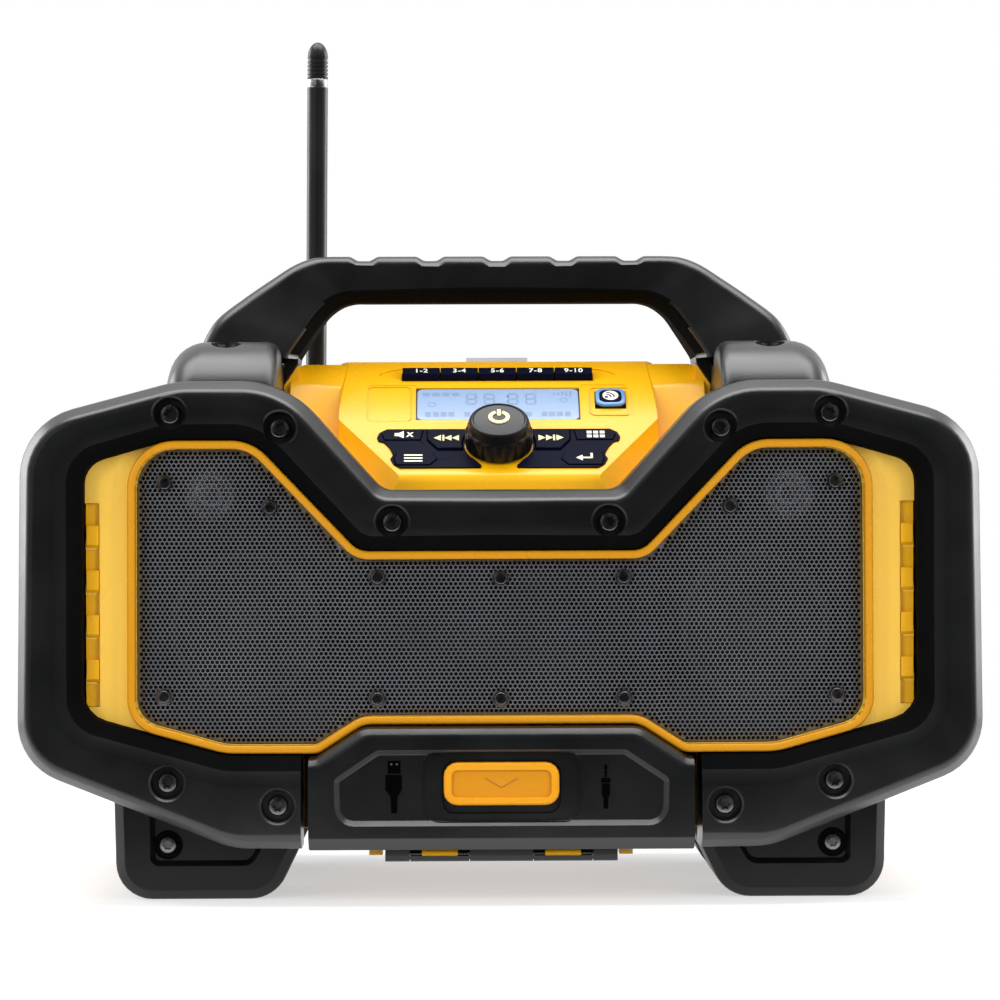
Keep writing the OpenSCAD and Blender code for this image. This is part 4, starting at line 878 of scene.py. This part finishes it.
def make_key_signs():
    """Numbers on the presets and plain signs on the other keys."""
    for k, words in enumerate(PRESET_TEXT):
        lettering(f"preset_number_{k + 1}", words, (k - 2) * PRESET_W, PRESET_V - 0.2, PRESET_TOP + 0.02,
                  f"preset_key_{k + 1}_body")
    x, v = -50, 31
    horn = [(-4.4, -1.3), (-2.4, -1.3), (0.4, -3.2), (0.4, 3.2), (-2.4, 1.3), (-4.4, 1.3)]
    strokes = [[(low, -2), (low + 1, -2), (high + 1, 2), (high, 2)] for low, high in ((1.5, 4.5), (4.5, 2))]
    sign("quiet_sign", [[(x + dx, v + dv) for dx, dv in shape] for shape in (horn, *strokes)], "mute_key")
    sign("list_sign", [rect(-44.5, 10 + 2.6 * k, 9.6, 1.1) for k in (-1, 0, 1)], "menu_key")
    squares = [rect(47.4 + 3.4 * i, 31 + 1.75 * j, 2.5, 2.3) for i in (0, 1, 2) for j in (-1, 1)]
    sign("source_sign", squares, "mode_key")
    sign("enter_sign", [triangle(41.6, 10, -3.4, 5), rect(45.9, 10, 5.2, 1.2), rect(48.0, 11.7, 1.2, 4.6)],
         "enter_key")
    for s, name in ((-1, "back"), (1, "forward")):
        marks = [triangle(s * at, SEEK_V, s * 3.7, 5.0) for at in (22.6, 26.5, 32.0)]
        marks.insert(2, rect(s * 28.9, SEEK_V, 1.0, 5.0))
        sign(f"seek_{name}_sign", marks, f"seek_{name}_key", SEEK_TOP, GLYPH)


def make_wireless_key():
    """The round-cornered key with its pale ring, and plain radio waves on a disc."""
    x, v = WIRELESS_AT
    rim = on_panel_prisms("wireless_rim", [round_rect(x, v, 15.8, 15.2, 4.2)], 0.3, 2.2, BLUE, "blue_rim",
                          replaces="wireless_bezel")
    bevel(rim, 0.7, 3)
    opening = round_rect(x, v, 11.9, 11.3, 3.4)
    cut(rim, loft_cutter([[on_panel(*p, h) for p in opening] for h in (0, 3)]))
    shade(rim)
    cap = on_panel_prisms("wireless_cap", [round_rect(x, v, 11.4, 10.8, 3.2)], 0.3, WIRELESS_TOP, KEY,
                          "key_rubber", body="wireless_key_body", replaces="wireless_key")
    bevel(cap, 0.5, 3)
    sign("wireless_disc", [arc(x, v, 0.02, 4.2)], "wireless_key", WIRELESS_TOP, thickness=0.1)
    waves = [arc(x - 2.2, v - 1.6, r, r + 0.9, 0, 90, 12) for r in (2.0, 3.7)]
    waves.append(arc(x - 2.2, v - 1.6, 0.02, 1.0, steps=16))
    sign("wireless_sign", waves, "wireless_key", WIRELESS_TOP + 0.1, RIM, 0.06)


# -------------------- Door and latch

HINGE = (-114.0, 25.4)
HINGE_HALF = 59.0
HINGE_BAR_R = 3.6
PIN_BORE_R = 1.38
LUG_X, LUG_HALF = 31.3, 15.3
DOOR_HALF = 97.5
DOOR_BACK = -112.0
DOOR_LOW = 28.6
DOOR = [(-112, DOOR_LOW, 1), (-112, 75.2, 1), (-94.2, 75.4, 5), (-69.9, 91.1, 14)]
DOOR_CAVITY = [(-94.5, 31.6, 1), (-94.5, 72.4, 1), (-93.3, 72.4, 1), (-69, 88.1, 12)]
DOOR_RECESS = [(-84, 41.2, 10), (-84.6, 65, 4), (-62.7, 79.6, 4)]
DOOR_CENTRE = [(-40.5, 42.6, 9), (-40.5, 78.6, 7)]
DOOR_POCKET = [(-30, 46.9, 6), (-30, 73.9, 6)]
# the door's front: depth behind the face, and how far it is drawn in along its bottom and its top
DOOR_LEVELS = [(0, 6.6, 6.8), (0.35, 5.9, 5.0), (0.9, 5.3, 3.6), (3.2, 3.2, 1.1), (6.2, 0.3, 0.2),
               (6.8, 0, 0), (18, 0, 0)]
STEM_SLOT = ((-10.35, FRONT + 4, 51.85), (10.35, FRONT + 10, 68.55))
USB_PLUG = [[(-57.4, 67.6), (-57.4, 74), (-50.9, 74), (-50.9, 67.6)],
            [(-58.6, 59.4), (-58.6, 66.9), (-50.3, 66.9), (-50.3, 59.4), (-52.4, 56), (-52.8, 47.6),
             (-55.6, 47.6), (-56, 56)]]
USB_HOLES_X = (-55.6, -52.7)
UNDER_SCREEN_Z, UNDER_SCREEN_H = 30.1, 15.8
UNDER_SCREEN_Y = (-108.6, -107.8)
JACK_PLUG = [[(51.8, 69.2), (51.8, 71), (52.3, 71.8), (52.9, 71.8), (53.4, 71), (53.4, 69.2)],
             [(52.0, 65.4), (52.0, 68.8), (53.2, 68.8), (53.2, 65.4)],
             [(50.3, 62.6), (50.3, 65), (54.9, 65), (54.9, 62.6)],
             [(50.6, 56.4), (50.6, 62.2), (54.6, 62.2), (54.6, 56.4), (53.8, 54.6), (53.8, 49.4),
              (51.4, 49.4), (51.4, 54.6)]]
LATCH = [(-29.2, 51.3, 7), (-29.2, 73.1, 7)]
LATCH_RIM = 4.04
LATCH_FLOOR = FRONT + 2.8
ARROW_TOP, ARROW_TIP, ARROW_W, ARROW_T = 65.4, 60.6, 8.4, 0.75
ON_DOOR = {"slot": "black_rubber", "body": "door_body"}
ON_LATCH = {"slot": "latch_yellow", "body": "latch_body", "smooth": False}


def door_section(depth, low, high):
    """The door's outline at a depth, drawn in by low along its bottom and by high along its top."""
    shoulder, *top = inset(mirrored(DOOR), high)[1:4]
    corners = mirrored([(-DOOR_HALF, DOOR_LOW + low, 1), (-DOOR_HALF, *shoulder[1:]), *top])
    return [(p.x, FRONT + depth, p.y) for p in rounded(corners, 6)]


def recess_cutter(corners, floor, slope, start=0.0):
    """A recess whose walls lean in by slope on the way to its floor."""
    levels = [(start - 1, 0), (start, 0), (start + 0.3, 0.12 * slope), (floor - 0.3, 0.88 * slope),
              (floor, slope + 0.2)]
    return loft_cutter([[(p.x, FRONT + y, p.y) for p in rounded(inset(mirrored(corners), d), 6)]
                        for y, d in levels])


def make_door():
    """The door's front with its sloping rims, its hollow back and the guide of its latch."""
    sections = [door_section(*level) for level in DOOR_LEVELS]
    obj = sweep("door_skin", sections, RUBBER, replaces="door", **ON_DOOR)
    cavity = rounded(mirrored(DOOR_CAVITY), 6)
    cut(obj, recess_cutter(DOOR_RECESS, 2.5, 2.6), recess_cutter(DOOR_CENTRE, 4.2, 0.6, 1.0),
        recess_cutter(DOOR_POCKET, 6.0, 0.2, 2.0),
        loft_cutter([[(p.x, y, p.y) for p in cavity] for y in (FRONT + 9, DOOR_BACK + 1)]),
        block_cutter(*STEM_SLOT))
    shade_flats(obj, 30)
    guide = [(-6, DOOR_LOW + 1), (-6, 39.3), (6, 39.3), (6, DOOR_LOW + 1)]
    prism("door_guide", guide, FRONT + 8, DOOR_BACK, RUBBER, smooth=False, **ON_DOOR)


def make_hinge_bar():
    """The bar under the door, bored for the pins and notched for the lugs."""
    y, z = HINGE
    r = HINGE_BAR_R
    turns = [math.radians(a) for a in range(180, 361, 12)]
    outline = [polar(r, a, y, z) for a in turns]
    outline += [(DOOR_BACK, DOOR_LOW + 1), (y - r, DOOR_LOW + 1)]
    sections = [[(x, *p) for p in outline] for x in (-HINGE_HALF, HINGE_HALF)]
    bar = sweep("door_hinge_bar", sections, BLACK, **ON_DOOR)
    cuts = [turned_cutter([(PIN_BORE_R, -HINGE_HALF - 1), (PIN_BORE_R, HINGE_HALF + 1)], (0, y, z), ALONG_X)]
    for side in (-1, 1):
        x0, x1 = side * LUG_X - LUG_HALF, side * LUG_X + LUG_HALF
        cuts += [block_cutter((x0, y - 2.9, 10), (x1, y + 6, DOOR_LOW)),
                 block_cutter((x0, y - 6, z - 0.5), (x1, y, DOOR_LOW))]
    cut(bar, *cuts)
    shade(bar, 30)


def make_door_signs():
    """A plug for each socket in the bay, and the dark strip behind the hinge."""
    for k, outline in enumerate(USB_PLUG + JACK_PLUG):
        prism(f"door_plug_{k + 1}", outline, FRONT + 2.2, FRONT + 2.7, PLUG_MARKS_AND_WELL_SHADE, smooth=False, **ON_DOOR)
    for k, x in enumerate(USB_HOLES_X):
        prism(f"door_plug_hole_{k + 1}", rect(x, 72.3, 1, 1), FRONT + 2.1, FRONT + 2.3, PLUG_HOLE,
              smooth=False, **ON_DOOR)
    screen = rect(0, UNDER_SCREEN_Z, 2 * HINGE_HALF, UNDER_SCREEN_H)
    prism("under_screen", screen, *UNDER_SCREEN_Y, BLACK, "black_plastic", smooth=False)


def make_latch_marks():
    """A darker plate on the latch's dish as painted shade, and the shallow arrow on it, dark with painted
    groove shade.
    """
    dish = [(p.x, p.y) for p in rounded(inset(mirrored(LATCH), LATCH_RIM), 6)]
    # the dish plate's darker yellow is painted shade
    prism("latch_dish_painted_shade", dish, LATCH_FLOOR - 0.06, LATCH_FLOOR + 0.3, DISH_SHADE_YELLOW, **ON_LATCH)
    upper = [(-ARROW_W, ARROW_TOP), (0, ARROW_TIP), (ARROW_W, ARROW_TOP)]
    arrow = upper + [(x, z - ARROW_T) for x, z in reversed(upper)]
    # the arrow's dark colour is painted groove shade
    prism("latch_arrow", arrow, LATCH_FLOOR - 0.12, LATCH_FLOOR + 0.2, ARROW_GROOVE_SHADE, **ON_LATCH)


# -------------------- Louvres, lug guards, feet and small screws

LOUVRE_BLADES_Z = (118.7, 141.4, 164.1, 186.9)
LOUVRE_FLOOR = [(203.8, 101.2), (210.6, 101.2), (210.6, 204.1), (203.8, 204.1)]
LOUVRE_FLOOR_Y = (-110.8, -106.2)
BLADE_X = (203.9, 210.0)
BLADE_PROFILE = ((-110.4, 6.2), (-113.1, 6.2), (-113.7, 5.6), (-113.7, -3.6), (-110.4, -6.2))
LUG_GUARD_R = 2.45
LUG_GUARD_GAP = 0.4
GRILLE_SCREW_R, GRILLE_SCREW_H, GRILLE_SCREW_SINK = 3.4, 1.6, 0.6
FOOT_SCREW_X, FOOT_SCREW_Z = 171.4, 28.2
FOOT_SCREW_R, FOOT_SCREW_H = 4.4, 2.2
FOOT_FACE = -92.0
FOOT_RECESS_DEPTH = 4.0
FOOT = [(-99, 60, 1), (-99, 36, 3), (-116.5, 0, 20), (-198, 0, 19), (-199.5, 60, 1)]
FOOT_RECESS = [(-180.5, 17.6, 5), (-180.5, 50, 3), (-122, 50, 3), (-122, 28, 6), (-128, 17.6, 8)]
# depth behind the face, and how far the outline is drawn in there
FOOT_LEVELS = [(0, 5.4), (0.3, 4.9), (4.4, 0.9), (5.2, 0.3), (6.6, 0), (68, 0), (72, 4)]
RECESS_LEVELS = [(-1, 0), (0, 0), (0.4, 0.4), (3.6, 2.2), (FOOT_RECESS_DEPTH, 2.6)]
# a foot's screw cup, very dark as painted shade of the screw's well: radius, and height over the recess's
# floor
FOOT_WELL_SHADE = [(4.0, -0.4), (4.0, 0.12), (6.6, 0.12), (6.9, 0.35), (7.5, 0.35), (7.8, -0.4)]


def make_louvres():
    """Raised floors between the louvres' blades and a fuller face on each blade, as light as in the photo."""
    for side, sign_x in SIDES:
        prism(f"louvre_floor_{side}", [(sign_x * x, z) for x, z in LOUVRE_FLOOR], *LOUVRE_FLOOR_Y, YELLOW,
              "yellow_plastic")
        for k, z in enumerate(LOUVRE_BLADES_Z):
            sections = [[(sign_x * x, y, z + dz) for y, dz in BLADE_PROFILE] for x in BLADE_X]
            sweep(f"louvre_blade_{side}_{k + 1}", sections, YELLOW, "yellow_plastic")


def make_lug_guards():
    """A thin dark guard round the underside of each hinge lug, in the notches of the door's hinge bar."""
    turns = [math.radians(a) for a in np.linspace(210, 318, 16)]
    outline = [polar(HINGE_BAR_R, a) for a in turns] + [polar(LUG_GUARD_R, a) for a in reversed(turns)]
    half = LUG_HALF - LUG_GUARD_GAP
    for name, side in SIDES:
        sections = [[(side * x, HINGE[0] + dy, HINGE[1] + dz) for dy, dz in outline]
                    for x in (LUG_X - half, LUG_X + half)]
        sweep("lug_guard_" + name, sections, BLACK, "black_plastic")


def make_foot(name, side, end):
    """A foot with its chamfered rim and the recess round its screw. side and end are signs."""
    def section(corners, depth, d):
        return [(-side * p.x, -end * (FOOT_FACE + depth), p.y) for p in rounded(inset(corners, d), 8)]
    sections = [section(FOOT, *level) for level in FOOT_LEVELS]
    obj = sweep("foot_skin_" + name, sections, FOOT_RUBBER, "black_rubber", replaces="foot_" + name)
    cut(obj, loft_cutter([section(FOOT_RECESS, *level) for level in RECESS_LEVELS]))
    shade_flats(obj, 30)


def make_feet():
    """The four feet, each with its screw in a dark cup that paints the shade of its well."""
    for side_name, side in SIDES:
        for end, end_name in ((-1, "front"), (1, "rear")):
            name = f"{end_name}_{side_name}"
            make_foot(name, side, end)
            at = (side * FOOT_SCREW_X, end * (-FOOT_FACE - FOOT_RECESS_DEPTH), FOOT_SCREW_Z)
            star_screw("foot_screw_" + name, at, FOOT_SCREW_R, FOOT_SCREW_H, end)
            cup = lathe([(r, end * h) for r, h in FOOT_WELL_SHADE], at)
            sweep("foot_well_painted_shade_" + name, cup, PLUG_MARKS_AND_WELL_SHADE, "black_rubber")


def make_grille_screws():
    """The grille's screws, each in a cup that fills its dimple."""
    cup = [(2, 1.4), (DIMPLE_R - 0.8, 1.5), (DIMPLE_R, 1.8), (DIMPLE_R, 2.3)]
    for k, (x, z) in enumerate(both_signs(GRILLE_FIXINGS)):
        y = GRILLE_CENTRE_Y if abs(x) < PANEL_X else GRILLE_Y
        star_screw(f"grille_screw_{k + 1}", (x, y + GRILLE_SCREW_SINK, z), GRILLE_SCREW_R, GRILLE_SCREW_H,
                   replaces="grille_screws" if k == 0 else None)
        sweep(f"grille_cup_{k + 1}", lathe(cup, (x, y, z)), SCREW, "grille_steel")


# -------------------- Aerial

AERIAL = Vector((-101.1, 78.0, 268.0))
AERIAL_TOP = 464.0
AERIAL_R = 5.8
AERIAL_LEAN = math.radians(0.5)
CAP_LEN, FERRULE_LEN = 21.0, 4.7
CAP_DOME = 9.0
RIB_PITCH = 2.2


def make_aerial():
    """The aerial's rod, its bright band and its ribbed cap, up to the top of the box."""
    r = AERIAL_R
    cap = (AERIAL_TOP - AERIAL.z) / math.cos(AERIAL_LEAN) - CAP_LEN
    band = cap - FERRULE_LEN
    ribs = [(r - 0.3, cap)]
    for low in (cap + RIB_PITCH * k for k in range(5)):
        ribs += [(r, low + 0.5), (r, low + 1.5), (r - 0.55, low + 1.8), (r - 0.55, low + RIB_PITCH)]
    dome = [(r * math.cos(a), cap + CAP_LEN - CAP_DOME + CAP_DOME * math.sin(a))
            for a in np.linspace(0, math.pi / 2 - 0.05, 10)]
    rod = [(r - 0.6, 9), (r, 9.6), (r, band - 0.3), (r - 0.3, band)]
    ring = [(r - 0.35, band), (r - 0.1, band + 0.3), (r - 0.1, cap - 0.3), (r - 0.35, cap)]
    for name, profile, material, slot, stands_for in (
            ("aerial_rod", rod, BLACK, "black_plastic", "aerial_sleeve"),
            ("aerial_band", ring, STEEL, "bright_steel", "aerial_ferrule"),
            ("aerial_tip", ribs + dome, BLACK, "black_plastic", "aerial_cap")):
        sections = lathe(profile, AERIAL, Matrix.Rotation(AERIAL_LEAN, 3, "Y"), 64)
        shade(sweep(name, sections, material, slot, body="aerial", replaces=stands_for), 40)


# -------------------- CAD nodes that show

# the width in millimetres by which each node's edges are rounded
SOFT_EDGES = {
    "front_housing": 0.7, "front_frame": 0.5, "rear_housing": 0.7, "console": 1.1, "latch": 0.4,
    "bay_liner": 0.4, "ridge_cap": 0.5, "keypad_bezels": 0.25, "mute_key": 0.4, "menu_key": 0.4,
    "seek_back_key": 0.6, "seek_forward_key": 0.6, "mode_key": 0.4, "enter_key": 0.4, "aerial_base": 0.4,
    **{f"preset_key_{k}": 0.4 for k in range(1, 6)},
}


def soften(obj, width):
    """Rounds the sharp edges of a CAD node by modifiers."""
    obj.modifiers.new("weld", "WELD").merge_threshold = 0.00002
    mod = bevel(obj, width)
    mod.harden_normals = False
    mod.use_clamp_overlap = True
    obj.modifiers.new("normals", "WEIGHTED_NORMAL").keep_sharp = False


def finish_nodes():
    slot_of = {s["node"]: s["material_slot"] for s in frame["record"]["subparts"]}
    for name, obj in nodes.items():
        obj.data.materials.clear()
        # the front frame's paler yellow is painted sheen
        obj.data.materials.append(SHEEN_YELLOW if name == "front_frame" else SLOT_FINISH[slot_of[name]])
        if name in SOFT_EDGES and not obj.hide_render:
            soften(obj, SOFT_EDGES[name])


make_bumpers()
make_handle()
for name, side in SIDES:
    make_rail("rail_" + name, side)
make_grille()
make_rib()
make_knob()
make_display()
make_key_signs()
make_wireless_key()
make_door()
make_hinge_bar()
make_door_signs()
make_latch_marks()
make_louvres()
make_lug_guards()
make_grille_screws()
make_feet()
make_aerial()
finish_nodes()

# -------------------- Stage, lights and camera

FLOOR_HALF = 9.0
CAMERA_AT = Vector((-0.024, -1.830, 0.2053))
PHOTO_PX = 1000
CENTRE_PX = 453.0
MM_PER_PX = 0.5034
CAMERA_ROLL = math.radians(-0.2)
SENSOR = 36


def combine(tree, operation, a, b):
    """A math node over two outputs."""
    made = node(tree, "ShaderNodeMath", operation)
    tree.links.new(a, made.inputs[0])
    tree.links.new(b, made.inputs[1])
    return made.outputs[0]


def blend(tree, kind, first, second, factor=None):
    """Two shaders added, or mixed by a factor."""
    made = tree.nodes.new(kind)
    if factor:
        tree.links.new(factor, made.inputs["Fac"])
    at = 1 if factor else 0
    tree.links.new(first, made.inputs[at])
    tree.links.new(second, made.inputs[at + 1])
    return made.outputs[0]


def axis_y(tree, output):
    """The y of a vector."""
    split = tree.nodes.new("ShaderNodeSeparateXYZ")
    tree.links.new(output, split.inputs[0])
    return split.outputs["Y"]


def make_stage():
    """A pale floor that keeps the shadows and else shows as white, with a dark studio beyond its front."""
    mat, tree, bsdf = shader("floor", (0.56, 0.56, 0.56), 0.9, specular=0.0)
    glow, white, dark = (node(tree, "ShaderNodeEmission", Strength=s).outputs[0] for s in (0.52, 1.0, 0.02))
    path = tree.nodes.new("ShaderNodeLightPath")
    glossy = path.outputs["Is Glossy Ray"]
    seen = combine(tree, "MAXIMUM", path.outputs["Is Camera Ray"], path.outputs["Is Transmission Ray"])
    seen = combine(tree, "MAXIMUM", seen, glossy)
    place = tree.nodes.new("ShaderNodeTexCoord").outputs["Object"]
    reach = node(tree, "ShaderNodeVectorMath", "LENGTH")
    tree.links.new(place, reach.inputs[0])
    far = combine(tree, "MULTIPLY", ramp(tree, reach.outputs["Value"], 0.5, 0.9), seen)
    in_front = combine(tree, "MULTIPLY", ramp(tree, axis_y(tree, place), -0.17, -0.34), glossy)
    lit = blend(tree, "ShaderNodeAddShader", bsdf.outputs[0], glow)
    lit = blend(tree, "ShaderNodeMixShader", bsdf.outputs[0], lit, seen)
    lit = blend(tree, "ShaderNodeMixShader", lit, white, far)
    lit = blend(tree, "ShaderNodeMixShader", lit, dark, in_front)
    tree.links.new(lit, tree.nodes["Material Output"].inputs["Surface"])
    mesh = bpy.data.meshes.new("floor")
    corners = [(x * FLOOR_HALF, y * FLOOR_HALF, 0) for x, y in ((-1, -1), (1, -1), (1, 1), (-1, 1))]
    mesh.from_pydata(corners, [], [(0, 1, 2, 3)])
    mesh.materials.append(mat)
    floor = bpy.data.objects.new("floor", mesh)
    bpy.context.scene.collection.objects.link(floor)


def make_world():
    """White behind, above and beside the radio, dark behind the camera, and plain white to the camera."""
    world = bpy.data.worlds.new("studio")
    bpy.context.scene.world = world
    world.use_nodes = True
    tree = world.node_tree
    back = tree.nodes["Background"]
    back.inputs["Color"].default_value = (1, 1, 1, 1)
    towards = axis_y(tree, tree.nodes.new("ShaderNodeTexCoord").outputs["Generated"])
    path = tree.nodes.new("ShaderNodeLightPath")
    mix = node(tree, "ShaderNodeMix", B=0.5)
    tree.links.new(path.outputs["Is Diffuse Ray"], mix.inputs["Factor"])
    tree.links.new(ramp(tree, towards, -0.6, 0.15, 0.01, 1.0, "SMOOTHSTEP"), mix.inputs["A"])
    strength = combine(tree, "MAXIMUM", mix.outputs["Result"], path.outputs["Is Camera Ray"])
    tree.links.new(strength, back.inputs["Strength"])


def area_light(name, location, width, height, energy, in_gloss=True):
    """A rectangular lamp that faces the middle of the radio."""
    data = bpy.data.lights.new(name, "AREA")
    data.energy = energy
    data.shape = "RECTANGLE"
    data.size = width
    data.size_y = height
    obj = bpy.data.objects.new(name, data)
    obj.location = location
    obj.rotation_euler = (Vector((0, 0, 0.18)) - Vector(location)).to_track_quat("-Z", "Y").to_euler()
    obj.visible_glossy = in_gloss
    bpy.context.scene.collection.objects.link(obj)


def make_lights():
    """Soft lamps round the radio. The glint lamps, smaller than the side ones beside them, show in gloss."""
    area_light("top", (0.0, -0.1, 1.7), 2.0, 1.2, 33)
    for name, s in SIDES:
        area_light(f"rim_{name}", (s * 1.7, 0.9, 0.7), 0.8, 1.3, 16)
        area_light(f"side_{name}", (s * 1.5, -1.5, 0.8), 0.8, 1.4, 13, in_gloss=False)
        area_light(f"glint_{name}", (s * 1.5, -1.5, 0.8), 0.5, 0.9, 8)
    area_light("front", (0.0, -2.4, 1.2), 2.2, 1.6, 5, in_gloss=False)


def make_camera():
    """A level camera 1.7 m from the bumper's face, a little left of the middle and turned towards it."""
    distance = FRONT * MM - CAMERA_AT.y
    width = PHOTO_PX * MM_PER_PX * MM
    yaw = math.atan((PHOTO_PX / 2 - CENTRE_PX) * MM_PER_PX * MM / distance)
    data = bpy.data.cameras.new("camera")
    data.sensor_width = SENSOR
    data.lens = SENSOR * distance / width * math.cos(yaw)
    obj = bpy.data.objects.new("camera", data)
    aim = Matrix.Rotation(-yaw, 3, "Z") @ Matrix.Rotation(math.pi / 2, 3, "X")
    aim = aim @ Matrix.Rotation(CAMERA_ROLL, 3, "Z")
    obj.matrix_world = Matrix.Translation(CAMERA_AT) @ aim.to_4x4()
    bpy.context.scene.collection.objects.link(obj)
    bpy.context.scene.camera = obj


make_stage()
make_world()
make_lights()
make_camera()
bpy.context.scene.view_settings.view_transform = "Standard"
